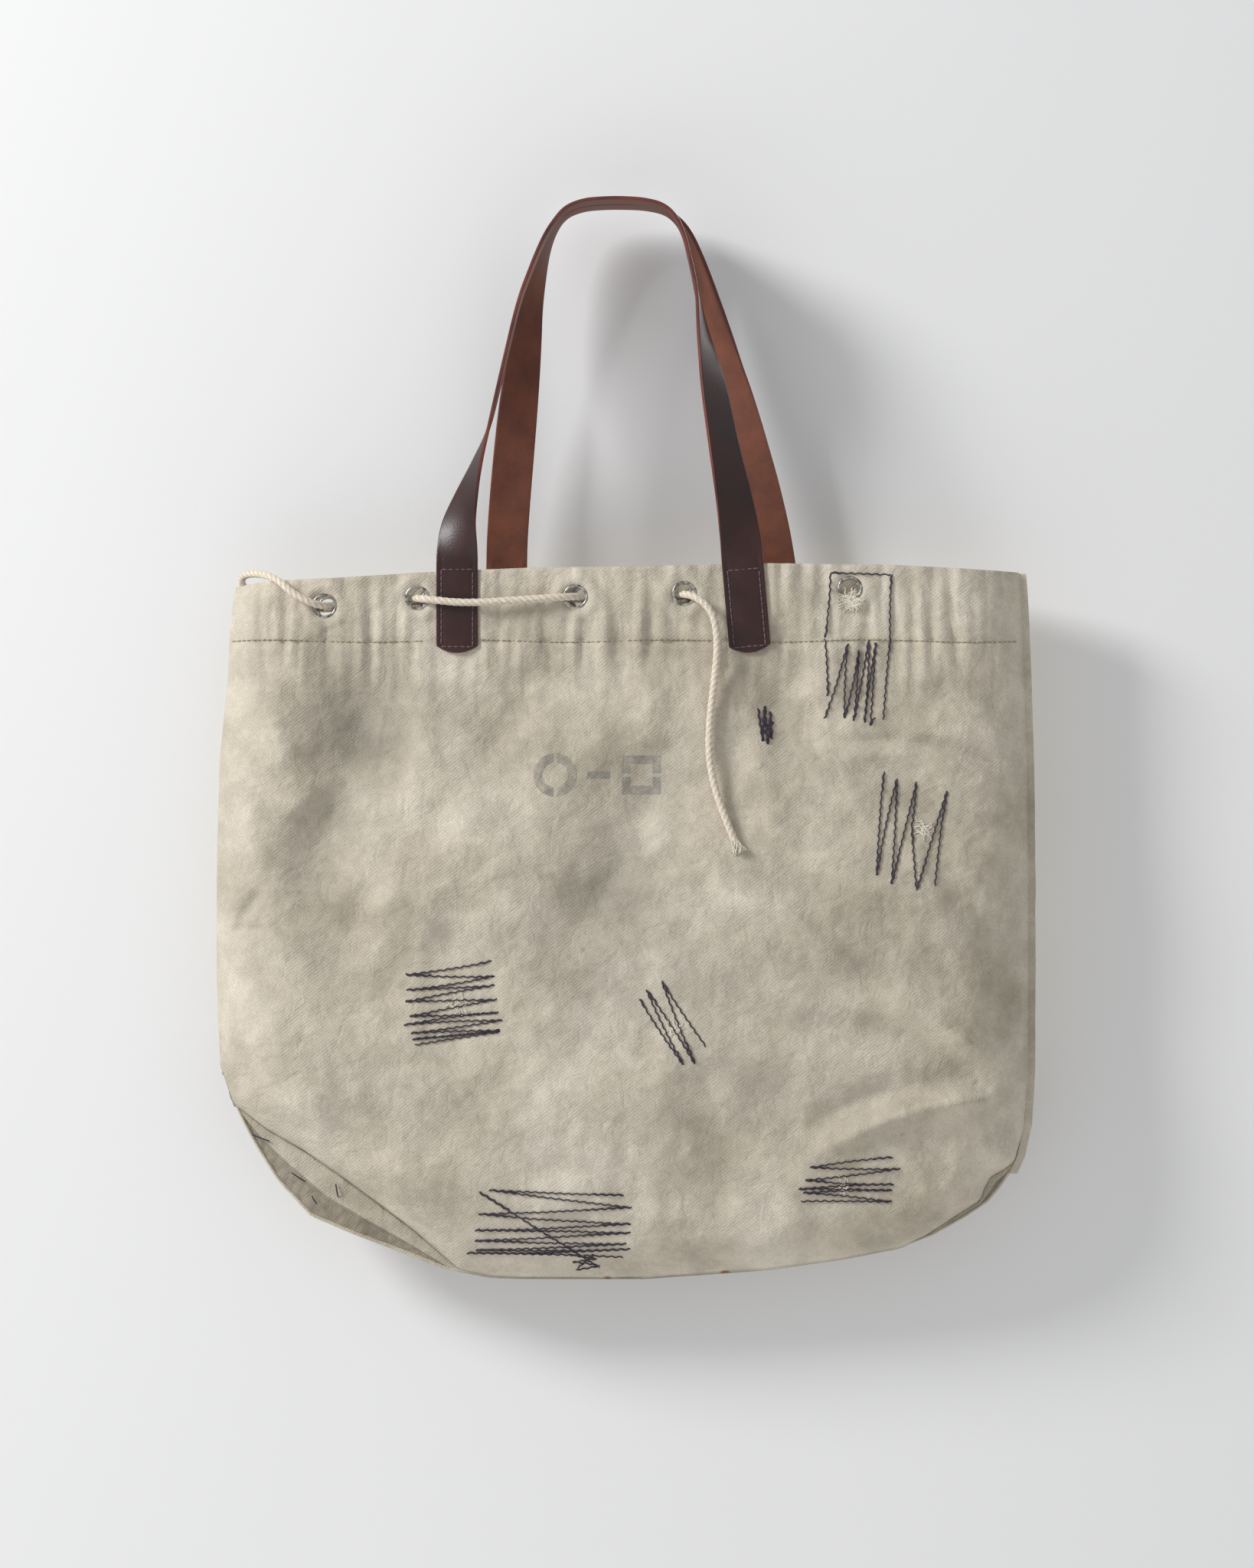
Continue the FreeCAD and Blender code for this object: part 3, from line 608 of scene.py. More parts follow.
def buildBase():
    # the round base, folded up behind; its quilting shows under the front's lower left fold
    form, look = sackForm, baseLook
    obj = gridPiece(300, 64)
    s, t = gridShares(obj)
    u = (s + 1) / 2
    ox, oz = alongLine(form["outer"], u)
    fx, fz = alongLine(form["front"], u)
    rise = look["rise"] * (1 - np.abs(2 * u - 1) ** 3)
    part = look["backShare"]
    up = np.clip(1 - t / part, 0, 1)
    on = np.clip((t - part) / (1 - part), 0, 1)
    x = np.where(t < part, ox + (sackForm["middleX"] - ox) * look["tuck"] * up, ox + (fx - ox) * on)
    z = np.where(t < part, oz + rise * up, oz + (fz - oz) * on)
    behind = panelHeight(x, z, "back") * eased(up, 0.0, 0.16) + look["stand"]
    a = u * look["round"] / look["quilt"]
    b = np.where(t < part, rise * up, -look["strip"] * on) / look["quilt"]
    quilt = np.minimum(np.abs(np.sin(math.pi * (a + b))), np.abs(np.sin(math.pi * (a - b)))) ** 0.6
    y = np.where(t < part, behind, look["stand"] * (1 - on) + look["lip"])
    y = y + look["puff"] * quilt * np.where(t < part, 1, -0.9)
    # where the gap is wide, the wall's own cloth turns under first and stands over the quilting
    wide = np.clip(np.hypot(fx - ox, fz - oz) / 18, 0, 1)
    turned = (t > part) & (on > look["turnUnder"])
    rumple = np.array([noise.noise(Vector((px * 0.07, pz * 0.07, 4))) for px, pz in zip(x, z)])
    outwards = look["turnedOut"] * (1 - on) / (1 - look["turnUnder"]) + look["rumple"] * rumple
    y = np.where(turned, 0.3 - outwards * wide, y)
    setPoints(obj, np.stack([x, y, z], 1) * mm)
    storeShare(obj, "soil", np.where(turned, 0.30, 0.45 + 0.45 * (1 - quilt)))
    useMaterials(obj, baseCloth, backCloth)
    for face in obj.data.polygons:
        face.material_index = int(all(turned[i] for i in face.vertices))
    back = [p for p in obj.data.polygons if p.center.z > -0.63 and abs(p.center.x) < 0.05]
    if back and back[0].normal.y < 0:
        obj.data.flip_normals()
    applyModifier(obj, "SOLIDIFY", thickness=look["thickness"] * mm, offset=-1.0)
    smooth(obj)
    return obj


seamLook = {"drop": 0.6, "out": 1.55, "half": 2.6, "wave": 0.35, "thickness": 2.4, "rounding": 0.8, "soil": 0.2}


def buildSeam():
    # the felled seam stands out as a doubled edge down the right side
    look = seamLook
    obj = gridPiece(8, 190)
    s, t = gridShares(obj)
    ex, ez = alongLine(sackForm["right"] + sackForm["outer"][::-1][1:4], t)
    ez = ez - look["drop"]
    x = ex + look["out"] + s * look["half"]
    wave = np.array([noise.noise(Vector((0, pz * 0.06, 3))) for pz in ez])
    y = 0.5 * wave + 0.5 * np.sin(ez * 0.16) * (s + 1) * 0.25
    setPoints(obj, np.stack([x + look["wave"] * wave, y, ez], 1) * mm)
    storeShare(obj, "soil", np.full(x.shape, look["soil"]))
    applyModifier(obj, "SOLIDIFY", thickness=look["thickness"] * mm, offset=0.0)
    applyModifier(obj, "BEVEL", width=look["rounding"] * mm, segments=3, limit_method="ANGLE",
                  angle_limit=math.radians(50))
    smooth(obj)
    return obj


sideSeam = buildSeam()

# below the face of the panel, by the hem and under it
patchLook = {"hemTo": -284.5, "inHem": 2.5, "underHem": 1.45, "soil": 0.5, "thickness": 0.8}


def buildPatch():
    # the cloth behind the fifth front eyelet
    look = patchLook
    obj = gridPiece(26, 60)
    s, t = gridShares(obj)
    low, high = (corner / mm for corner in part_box("eyelet_patch"))
    x = (low.x + high.x) / 2 + s * (high.x - low.x) / 2
    z = high.z + (low.z - high.z) * t
    x, z = clearHoles(x, z, rings["front"][-1:])
    height = panelHeight(x, z, "front") - np.where(z > look["hemTo"], look["inHem"], look["underHem"])
    setPoints(obj, np.stack([x, -height, z], 1) * mm)
    storeShare(obj, "soil", np.full(x.shape, look["soil"]))
    punchHoles(obj, rings["front"][-1:])
    return finishCloth(obj, True, look["thickness"], 30)


patchPiece = buildPatch()
print("stage: facing, base, seam and patch")

# the two handles; sag is how far a tab's end is rounded, cushion and groove how its face swells and sinks
strapLook = {"width": 26.0, "thick": 2.2, "tabY": 23.1, "pegY": 14.5, "tab": 56.5, "sag": 4.5, "rows": 420,
             "cushion": 0.45, "groove": 0.3, "seamAt": 0.755, "endSeam": 3.5, "bevel": 0.4}
# along each handle: x, share of the way from the tab to the peg, z, and how far the leather is turned, degrees
frontRun = [
    (-100.7, 0, -221.0, 0), (-100.6, 0.02, -213, 14), (-99.5, 0.06, -197.5, 36), (-94.4, 0.15, -178, 58),
    (-88, 0.25, -158, 76), (-80.5, 0.4, -135, 88), (-71.8, 0.6, -98.5, 90), (-62.8, 0.8, -61, 90),
    (-55.2, 0.9, -39, 90), (-47, 1, -19.5, 90), (-40, 1, -8, 90), (-32.5, 1, 0.2, 90), (-22, 1, 4.6, 90),
    (-10, 1, 6, 90), (4, 1, 6.2, 90), (18, 1, 5, 90), (29, 1, 1.6, 90), (36.5, 1, -5.5, 90),
    (41.5, 1, -16, 91), (45.2, 0.95, -30, 91), (49.6, 0.85, -51, 92), (53.6, 0.7, -76.5, 105),
    (56.6, 0.6, -92, 115), (60.6, 0.45, -113.5, 127), (66.5, 0.25, -148, 136), (72.8, 0.1, -181, 150),
    (76.6, 0.03, -205, 166), (78.1, 0, -221.0, 180),
]
backRun = [
    (-70.7, 0, -221.0, 0), (-70.3, 0.02, -205, 2), (-68.5, 0.1, -178, 6), (-65, 0.28, -138.5, 16),
    (-62, 0.45, -109, 28), (-58.8, 0.62, -80, 42), (-56, 0.75, -58, 54), (-51.6, 0.88, -38, 66),
    (-46.8, 0.95, -21.5, 76), (-40.5, 1, -8.5, 84), (-32.5, 1, 0.2, 90), (-22, 1, 4.6, 90), (-10, 1, 6, 90),
    (4, 1, 6.2, 90), (18, 1, 5.4, 90), (30, 1, 2.4, 90), (38.5, 1, -4, 94), (44.2, 0.98, -13, 100),
    (49, 0.94, -26, 107), (53.6, 0.88, -41, 114), (58, 0.8, -57, 122), (63.2, 0.7, -76, 131),
    (69.2, 0.58, -98.5, 142), (74.5, 0.46, -116, 151), (81.6, 0.3, -141, 160), (90, 0.12, -172, 168),
    (96.4, 0.03, -200, 175), (100, 0, -221.0, 180),
]
# each tab's middle x and its lean in degrees
tabFeet = {"front": ((-100.7, 0.0), (78.1, -5.0)), "back": ((-70.7, 1.5), (100.0, -3.0))}


def strapPath(side):
    # places and turns of the whole strap, from the foot of one tab to the foot of the other
    look = strapLook
    outward = -1 if side == "front" else 1
    run = frontRun if side == "front" else backRun
    rows = [(x, outward * (look["tabY"] + (look["pegY"] - look["tabY"]) * share), z, outward * turn)
            for x, share, z, turn in run]
    reach = look["tab"] - look["sag"] + 1.0

    def foot(row, lean):
        tip = math.radians(lean)
        return [(row[0] - math.sin(tip) * reach * k, row[1], row[2] - math.cos(tip) * reach * k, row[3])
                for k in (0.1, 0.25, 0.5, 0.75, 1.0)]

    (_, firstLean), (_, lastLean) = tabFeet[side]
    return foot(rows[0], firstLean)[::-1] + rows + foot(rows[-1], lastLean)


def smoothRows(rows, count):
    # Catmull-Rom through the rows, then even steps along the length
    pts = np.array(rows, float)
    pts = np.vstack([2 * pts[0] - pts[1], pts, 2 * pts[-1] - pts[-2]])
    dense = []
    for a, b, c, d in zip(pts, pts[1:], pts[2:], pts[3:]):
        for k in np.linspace(0, 1, 12, endpoint=False):
            bend = (2 * a - 5 * b + 4 * c - d) * k * k + (3 * b - a - 3 * c + d) * k ** 3
            dense.append(0.5 * (2 * b + (c - a) * k + bend))
    dense.append(pts[-2])
    dense = np.array(dense)
    gone = np.concatenate([[0], np.cumsum(np.linalg.norm(np.diff(dense[:, :3], axis=0), axis=1))])
    wanted = np.linspace(0, gone[-1], count)
    return np.stack([np.interp(wanted, gone, dense[:, i]) for i in range(4)], 1), gone[-1]


def buildStrap(side):
    look = strapLook
    rows = look["rows"]
    line, length = smoothRows(strapPath(side), rows + 1)
    centre = line[:, :3]
    along = np.gradient(centre, axis=0)
    along /= np.linalg.norm(along, axis=1)[:, None]
    turn = np.radians(line[:, 3])
    across = np.stack([np.cos(turn), np.sin(turn), np.zeros(len(turn))], 1)
    across -= along * (across * along).sum(1)[:, None]
    across /= np.linalg.norm(across, axis=1)[:, None]
    obj = gridPiece(24, rows)
    s, t = gridShares(obj)
    index = np.rint(t * rows).astype(int)
    # the two feet are rounded
    gone = t * length
    end = np.minimum(gone, length - gone)
    way = np.where(gone < length / 2, -1.0, 1.0)
    sag = look["sag"] * (1 - s ** 2) * (1 - eased(end, 0, 14)) * way
    # the stitched tabs are cushioned between their seams
    normal = np.cross(across, along)
    onTab = 1 - eased(end, look["tab"] - 8, look["tab"] + 4)
    seam = np.exp(-((np.abs(s) - look["seamAt"]) / 0.07) ** 2) + np.exp(-(end - look["endSeam"]) ** 2)
    swell = look["cushion"] * np.clip(1 - (s / 0.72) ** 2, 0, 1)
    cushion = onTab * (swell - look["groove"] * np.clip(seam, 0, 1))
    lift = cushion * np.sign((normal[index] * np.array([0, -1 if side == "front" else 1, 0])).sum(1))
    points = centre[index] + across[index] * (s * look["width"] / 2)[:, None] + along[index] * sag[:, None]
    points += normal[index] * lift[:, None]
    setPoints(obj, points * mm)
    grain = np.cross(across[20], along[20]) if side == "front" else np.cross(along[20], across[20])
    face = [p for p in obj.data.polygons if abs(p.center.z / mm + 250) < 4][0]
    if Vector(grain).dot(face.normal) < 0:
        obj.data.flip_normals()
    useMaterials(obj, grainLeather, fleshLeather, edgeLeather)
    applyModifier(obj, "SOLIDIFY", thickness=look["thick"] * mm, offset=0.0, material_offset=1,
                  material_offset_rim=2)
    applyModifier(obj, "BEVEL", width=look["bevel"] * mm, segments=2, limit_method="ANGLE",
                  angle_limit=math.radians(50))
    smooth(obj, 40)
    return obj, length


def twill(tree, place, pitch):
    # steep diagonal ribs of a twill face, drawn coarser than real thread so that they show
    turned = addNode(tree, "Mapping", {"Vector": place, "Rotation": (0, math.radians(-52), 0)})
    inputs = {"Vector": (turned, "Vector"), "Scale": 1 / (pitch * mm) / 20 * math.pi, "Distortion": 1.2,
              "Detail": 2.0, "Detail Scale": 6.0}
    return addNode(tree, "TexWave", inputs, wave_type="BANDS", bands_direction="X")


# sizes are noise scales; the others are strengths, and bump gives strength and depth in metres
duckLook = {"patches": 14.0, "mottle": (46.0, 0.8), "breakup": (30.0, 1.15), "ribs": (0.85, 0.38),
            "nap": (900.0, 0.7), "rust": (13.0, "#8B6A48"), "wrinkles": 62.0, "creases": (24.0, 0.034, 38.0),
            "creaseBump": (0.14, 0.0014), "wrinkleBump": (0.55, 0.0034), "ribBump": (0.30, 0.0003),
            "napBump": (0.35, 0.0003)}


def cottonDuck(name, light, mid, dark, soilAndShadeColour, ink=False):
    # cotton duck, woven and long used: matt, dry, mottled, with greyed soil, painted shade in the panels' fold
    # valleys, and a visible rib
    sheen = {"Specular IOR Level": 0.25, "Sheen Weight": 0.12, "Sheen Roughness": 0.6}
    mat, tree, surface = newMaterial(name, 0.92, sheen)
    look = duckLook
    place = objectPlace(tree)
    wide = noiseNode(tree, place, look["patches"], 6.0, 0.62)
    base = ramp(tree, (wide, "Fac"), [(0.30, dark), (0.50, mid), (0.70, light)])
    patchy = noiseNode(tree, place, look["mottle"][0], 8.0, 0.7)
    speckle = ramp(tree, (patchy, "Fac"), [(0.42, 0.84), (0.56, 1.0)])
    mottled = mixColour(tree, look["mottle"][1], (base, "Color"), (speckle, "Color"), "MULTIPLY")
    # painted shade and stains: the attribute read here holds real stains and, on the panels, shade painted into
    # the fold valleys; both mix in the darker soil colour
    soil = addNode(tree, "Attribute", attribute_name="soil")
    breakup = noiseNode(tree, place, look["breakup"][0], 9.0, 0.75)
    amount = addNode(tree, "Math", {0: (soil, "Fac"), 1: (breakup, "Fac")}, operation="MULTIPLY")
    amount = addNode(tree, "Math", {0: (amount, "Value"), 1: look["breakup"][1]}, operation="MULTIPLY",
                     use_clamp=True)
    soiledAndShaded = mixColour(tree, (amount, "Value"), (mottled, 2), hexColour(soilAndShadeColour))
    ribs = twill(tree, place, look["ribs"][0])
    threads = noiseNode(tree, place, look["nap"][0], 3.0)
    ribShade = ramp(tree, (ribs, "Fac"), [(0.1, 0.80), (0.65, 1.0)])
    ribbed = mixColour(tree, look["ribs"][1], (soiledAndShaded, 2), (ribShade, "Color"), "MULTIPLY")
    nap = ramp(tree, (threads, "Fac"), [(0.34, 0.86), (0.62, 1.05)])
    final = mixColour(tree, look["nap"][1], (ribbed, 2), (nap, "Color"), "MULTIPLY")
    rust = addNode(tree, "TexVoronoi", {"Vector": place, "Scale": look["rust"][0]})
    rustDot = ramp(tree, (rust, "Distance"), [(0.028, 1.0), (0.05, 0.0)])
    final = mixColour(tree, (rustDot, "Color"), (final, 2), hexColour(look["rust"][1]))
    if ink:
        final = stencilInk(tree, place, final)
    feed(tree, surface.inputs["Base Color"], (final, 2))
    # wrinkles too small for the mesh, then ribs, then single threads
    small = noiseNode(tree, place, look["wrinkles"], 8.0, 0.62, 0.9)
    warpScale, warpBy, creaseScale = look["creases"]
    warp = noiseNode(tree, place, warpScale, 3.0)
    shifted = addNode(tree, "VectorMath", {0: (warp, "Color"), 1: (warpBy, warpBy, warpBy)},
                      operation="MULTIPLY")
    bent = addNode(tree, "VectorMath", {0: place, 1: (shifted, "Vector")}, operation="ADD")
    cells = addNode(tree, "TexVoronoi", {"Vector": (bent, "Vector"), "Scale": creaseScale},
                    feature="DISTANCE_TO_EDGE")
    crease = ramp(tree, (cells, "Distance"), [(0.0, 0.0), (0.10, 0.85), (0.35, 1.0)])
    bumpCrease = bumpNode(tree, (crease, "Color"), *look["creaseBump"])
    bumpA = bumpNode(tree, (small, "Fac"), *look["wrinkleBump"], bumpCrease)
    bumpB = bumpNode(tree, (ribs, "Fac"), *look["ribBump"], bumpA)
    bumpC = bumpNode(tree, (threads, "Fac"), *look["napBump"], bumpB)
    feed(tree, surface.inputs["Normal"], (bumpC, "Normal"))
    return mat


# middle x, then for the ring its inner and outer radius, for the bar its half width and half height, for the
# square its outer and inner half width; bridge is half the width of a gap, edge how sharp the ink ends
stencilLook = {"z": -355.0, "ring": (-39.0, 8.0, 14.0), "bar": (-12.0, 7.5, 2.6), "square": (15.0, 12.5, 7.0),
               "bridge": 1.3, "edge": 2200.0, "colour": "#7E7B76"}


def stencilInk(tree, place, cloth):
    # a faded stock mark of plain shapes: a ring, a bar and a square, each with a stencil's bridge
    look = stencilLook
    parts = addNode(tree, "SeparateXYZ", {"Vector": place})

    def calc(operation, a, b=None, clamp=False):
        values = {0: a} if b is None else {0: a, 1: b}
        return (addNode(tree, "Math", values, operation=operation, use_clamp=clamp), "Value")

    def offset(value, middle):
        # distance from a middle in millimetres
        return calc("ABSOLUTE", calc("SUBTRACT", value, middle * mm))

    def less(value):
        return calc("SUBTRACT", 1.0, value)

    def inside(value, limit):
        # 1 where value is under limit, with a soft edge half a millimetre wide
        return calc("MULTIPLY", calc("SUBTRACT", limit * mm, value), look["edge"], True)

    x, z = (parts, "X"), (parts, "Z")
    dz = offset(z, look["z"])
    ringX, ringIn, ringOut = look["ring"]
    dx = offset(x, ringX)
    away = calc("SQRT", calc("ADD", calc("MULTIPLY", dx, dx), calc("MULTIPLY", dz, dz)))
    ring = calc("MULTIPLY", inside(away, ringOut), less(inside(away, ringIn)))
    ring = calc("MULTIPLY", ring, less(inside(dx, look["bridge"])))
    barX, barWide, barHigh = look["bar"]
    bx = offset(x, barX)
    barMark = calc("MULTIPLY", inside(bx, barWide), inside(dz, barHigh))
    squareX, squareOut, squareIn = look["square"]
    sx = offset(x, squareX)
    side = calc("MAXIMUM", sx, dz)
    square = calc("MULTIPLY", inside(side, squareOut), less(inside(side, squareIn)))
    square = calc("MULTIPLY", square, less(inside(dz, look["bridge"])))
    mark = calc("ADD", calc("ADD", ring, barMark, True), square, True)
    worn = noiseNode(tree, place, 160.0, 6.0, 0.7)
    fade = ramp(tree, (worn, "Fac"), [(0.38, 0.25), (0.60, 0.72)])
    amount = calc("MULTIPLY", mark, (fade, "Color"))
    return mixColour(tree, amount, (cloth, 2), hexColour(look["colour"]))


canvasCloth = cottonDuck("worn_cotton_duck", "#E2D9C8", "#D1C7B4", "#B6AC98", "#7B776F", ink=True)
backCloth = cottonDuck("worn_cotton_duck_back", "#DFD6C5", "#CEC4B1", "#B4AA96", "#7B776F")
facingCloth = cottonDuck("hem_cotton_duck", "#DDD4C2", "#CDC3B0", "#B6AC97", "#817B6D")
baseCloth = cottonDuck("quilted_base_duck", "#C6BCA9", "#B3A894", "#9A8E7B", "#6B6459")


def bagLeather(name, colour, deep, roughness, grainSize, coat):
    # vegetable-tanned strap leather: fine pebble grain, polished on the outer face
    mat, tree, surface = newMaterial(name, roughness, {"Coat Weight": coat, "Coat Roughness": 0.28})
    place = objectPlace(tree)
    cloud = noiseNode(tree, place, 38.0, 5.0, 0.6)
    tone = ramp(tree, (cloud, "Fac"), [(0.32, deep), (0.68, colour)])
    feed(tree, surface.inputs["Base Color"], (tone, "Color"))
    pebble = addNode(tree, "TexVoronoi", {"Vector": place, "Scale": 1 / (grainSize * mm)})
    pores = noiseNode(tree, place, 1500.0, 2.0)
    bumpA = bumpNode(tree, (pebble, "Distance"), 0.25, 0.0003)
    bumpB = bumpNode(tree, (pores, "Fac"), 0.2, 0.0002, bumpA)
    feed(tree, surface.inputs["Normal"], (bumpB, "Normal"))
    shine = ramp(tree, (cloud, "Fac"), [(0.3, roughness - 0.06), (0.7, roughness + 0.1)])
    feed(tree, surface.inputs["Roughness"], (shine, "Color"))
    return mat


grainLeather = bagLeather("burgundy_strap_leather", "#38160F", "#260E0A", 0.42, 0.9, 0.12)
fleshLeather = bagLeather("strap_leather_flesh_side", "#7A452F", "#5A2F20", 0.66, 1.3, 0.0)
edgeLeather = bagLeather("dyed_leather_edge", "#7A3A2A", "#4A1C18", 0.55, 0.7, 0.05)


def nickelSteel():
    # nickel-plated steel, stamped, dulled and scratched by the cord
    mat, tree, surface = newMaterial("nickel_plated_steel", 0.34, {"Metallic": 1.0})
    place = objectPlace(tree)
    dull = noiseNode(tree, place, 420.0, 5.0)
    tone = ramp(tree, (dull, "Fac"), [(0.35, "#6F6C67"), (0.62, "#C9C6BF")])
    feed(tree, surface.inputs["Base Color"], (tone, "Color"))
    rough = ramp(tree, (dull, "Fac"), [(0.3, 0.26), (0.7, 0.48)])
    feed(tree, surface.inputs["Roughness"], (rough, "Color"))
    bump = bumpNode(tree, (dull, "Fac"), 0.15, 0.0003)
    feed(tree, surface.inputs["Normal"], (bump, "Normal"))
    return mat


ringSteel = nickelSteel()


def spunThread(name, light, dark, roughness, scale):
    # spun fibre: soft sheen, fine strands along its surface
    mat, tree, surface = newMaterial(name, roughness, {"Sheen Weight": 0.2})
    fibre = noiseNode(tree, objectPlace(tree), scale, 4.0, 0.7)
    tone = ramp(tree, (fibre, "Fac"), [(0.34, dark), (0.64, light)])
    feed(tree, surface.inputs["Base Color"], (tone, "Color"))
    bump = bumpNode(tree, (fibre, "Fac"), 0.6, 0.0004)
    feed(tree, surface.inputs["Normal"], (bump, "Normal"))
    return mat


def laidCotton():
    # three-strand cotton cord: cream, with painted shade in the lay between the strands
    mat, tree, surface = newMaterial("laid_cotton_cord", 0.85, {"Sheen Weight": 0.25})
    fibre = noiseNode(tree, objectPlace(tree), 1100.0, 4.0)
    tone = ramp(tree, (fibre, "Fac"), [(0.32, "#D0BEA2"), (0.62, "#F1E6D6")])
    lay = addNode(tree, "Attribute", attribute_name="twist")
    # painted shade: darker where the strands meet
    shade = ramp(tree, (lay, "Fac"), [(0.0, 0.74), (0.5, 1.0)])
    both = mixColour(tree, 0.75, (tone, "Color"), (shade, "Color"), "MULTIPLY")
    feed(tree, surface.inputs["Base Color"], (both, 2))
    bump = bumpNode(tree, (fibre, "Fac"), 0.6, 0.0004)
    feed(tree, surface.inputs["Normal"], (bump, "Normal"))
    return mat


cordCotton = laidCotton()
mendThread = spunThread("aubergine_mending_thread", "#3A2A40", "#160F1A", 0.7, 1400.0)
handleThread = spunThread("oxblood_waxed_thread", "#7C6470", "#3E2A33", 0.5, 1600.0)
hemThread = spunThread("tan_cotton_thread", "#AB9A7C", "#7D6C52", 0.8, 1400.0)
paleThread = spunThread("undyed_cotton_thread", "#EDE8DA", "#CFC6B0", 0.85, 1300.0)

for piece, mat in ((frontPanel, canvasCloth), (backPanel, backCloth), (frontFacing, facingCloth),
                   (backFacing, facingCloth), (sideSeam, facingCloth), (patchPiece, facingCloth),
                   (drawstring, cordCotton)):
    useMaterials(piece, mat)

basePiece = buildBase()
frontStrap, frontStrapLength = buildStrap("front")
backStrap, backStrapLength = buildStrap("back")
print("stage: handles", round(frontStrapLength), round(backStrapLength), "mm")


def clothY(side, x, z, lift=0.0):
    # the outer surface of the cloth at a place, plus a height above it
    x, z = np.atleast_1d(np.asarray(x, float)), np.atleast_1d(np.asarray(z, float))
    return (-1.0 if side == "front" else 1.0) * (panelHeight(x, z, side) + lift)


def threadPiece(name, strands, radius, mat):
    # many short threads in one mesh; strands are lists of places in millimetres
    curve = bpy.data.curves.new(name, "CURVE")
    curve.dimensions = "3D"
    curve.bevel_depth = radius * mm
    curve.bevel_resolution = 1
    curve.use_fill_caps = True
    for strand in strands:
        spline = curve.splines.new("POLY")
        spline.points.add(len(strand) - 1)
        for point, place in zip(spline.points, strand):
            point.co = (place[0] * mm, place[1] * mm, place[2] * mm, 1.0)
    obj = bpy.data.objects.new(name, curve)
    bpy.context.scene.collection.objects.link(obj)
    pick(obj)
    bpy.ops.object.convert(target="MESH")
    obj = bpy.context.object
    smooth(obj)
    useMaterials(obj, mat)
    return obj


def stitchRow(side, corners, length, gap, lift):
    # running stitches along a broken line, each dipping into the cloth at both ends
    pts = np.array(corners, float)
    gone = np.concatenate([[0], np.cumsum(np.hypot(*np.diff(pts, axis=0).T))])
    starts = np.arange(0.0, gone[-1] - length, length + gap)
    wanted = (starts[:, None] + length * np.array([0.0, 0.12, 0.5, 0.88, 1.0])[None, :]).ravel()
    x = np.interp(wanted, gone, pts[:, 0])
    z = np.interp(wanted, gone, pts[:, 1])
    y = clothY(side, x, z)
    y = y + (1 if side == "back" else -1) * np.tile([-0.5, lift * 0.8, lift, lift * 0.8, -0.5], len(starts))
    rows = np.stack([x, y, z], 1).reshape(len(starts), 5, 3)
    return [list(map(tuple, row)) for row in rows]


# runs are where the row shows between the tabs
hemStitchLook = {"length": 2.5, "gap": 0.8, "radius": 0.42, "lift": 0.2,
                 "runs": {"front": ((-243, -115.5), (-86.0, 66.0), (93.5, 254)),
                          "back": ((-243, -85), (-56, 85), (114, 254))}}


def hemLine(side, fromX, toX):
    xs = np.arange(fromX, toX, 4.0)
    return [(float(x), sackForm["stitchLine"] + 0.8 * math.sin(float(x) * 0.05)) for x in xs]


def buildHemStitches():
    look = hemStitchLook
    strands = []
    for side, runs in look["runs"].items():
        for fromX, toX in runs:
            strands += stitchRow(side, hemLine(side, fromX, toX), look["length"], look["gap"], look["lift"])
    return threadPiece("hem_stitches", strands, look["radius"], hemThread)


hemStitches = buildHemStitches()

tabStitchLook = {"length": 3.0, "gap": 0.9, "radius": 0.42, "margin": 3.2, "top": -226.2, "bottom": -274.6}


def buildTabStitches(side):
    # a rectangle of waxed thread on each tab, sunk a little in the leather
    look = tabStitchLook
    sign = -1.0 if side == "front" else 1.0
    face = strapLook["tabY"] + strapLook["thick"] / 2
    strands = []
    for centre, lean in tabFeet[side]:
        tip = math.radians(lean)
        half = strapLook["width"] / 2 - look["margin"]
        corners = [(-half, look["top"]), (-half, look["bottom"]), (half, look["bottom"]), (half, look["top"]),
                   (-half, look["top"])]
        for (ax, az), (bx, bz) in zip(corners, corners[1:]):
            reach = math.hypot(bx - ax, bz - az)
            for start in np.arange(0.3, reach - 1.5, look["length"] + look["gap"]):
                strand = []
                for share, lift in ((0, -0.55), (0.1, 0.1), (0.5, 0.22), (0.9, 0.1), (1, -0.55)):
                    d = min(start + look["length"] * share, reach) / reach
                    u, v = ax + (bx - ax) * d, (az + (bz - az) * d) + 221.0
                    strand.append((centre + u * math.cos(tip) + v * math.sin(tip), sign * (face + lift),
                                   v * math.cos(tip) - u * math.sin(tip) - 221.0))
                strands.append(strand)
    return threadPiece(side + "_tab_stitches", strands, look["radius"], handleThread)


frontTabStitches = buildTabStitches("front")
backTabStitches = buildTabStitches("back")

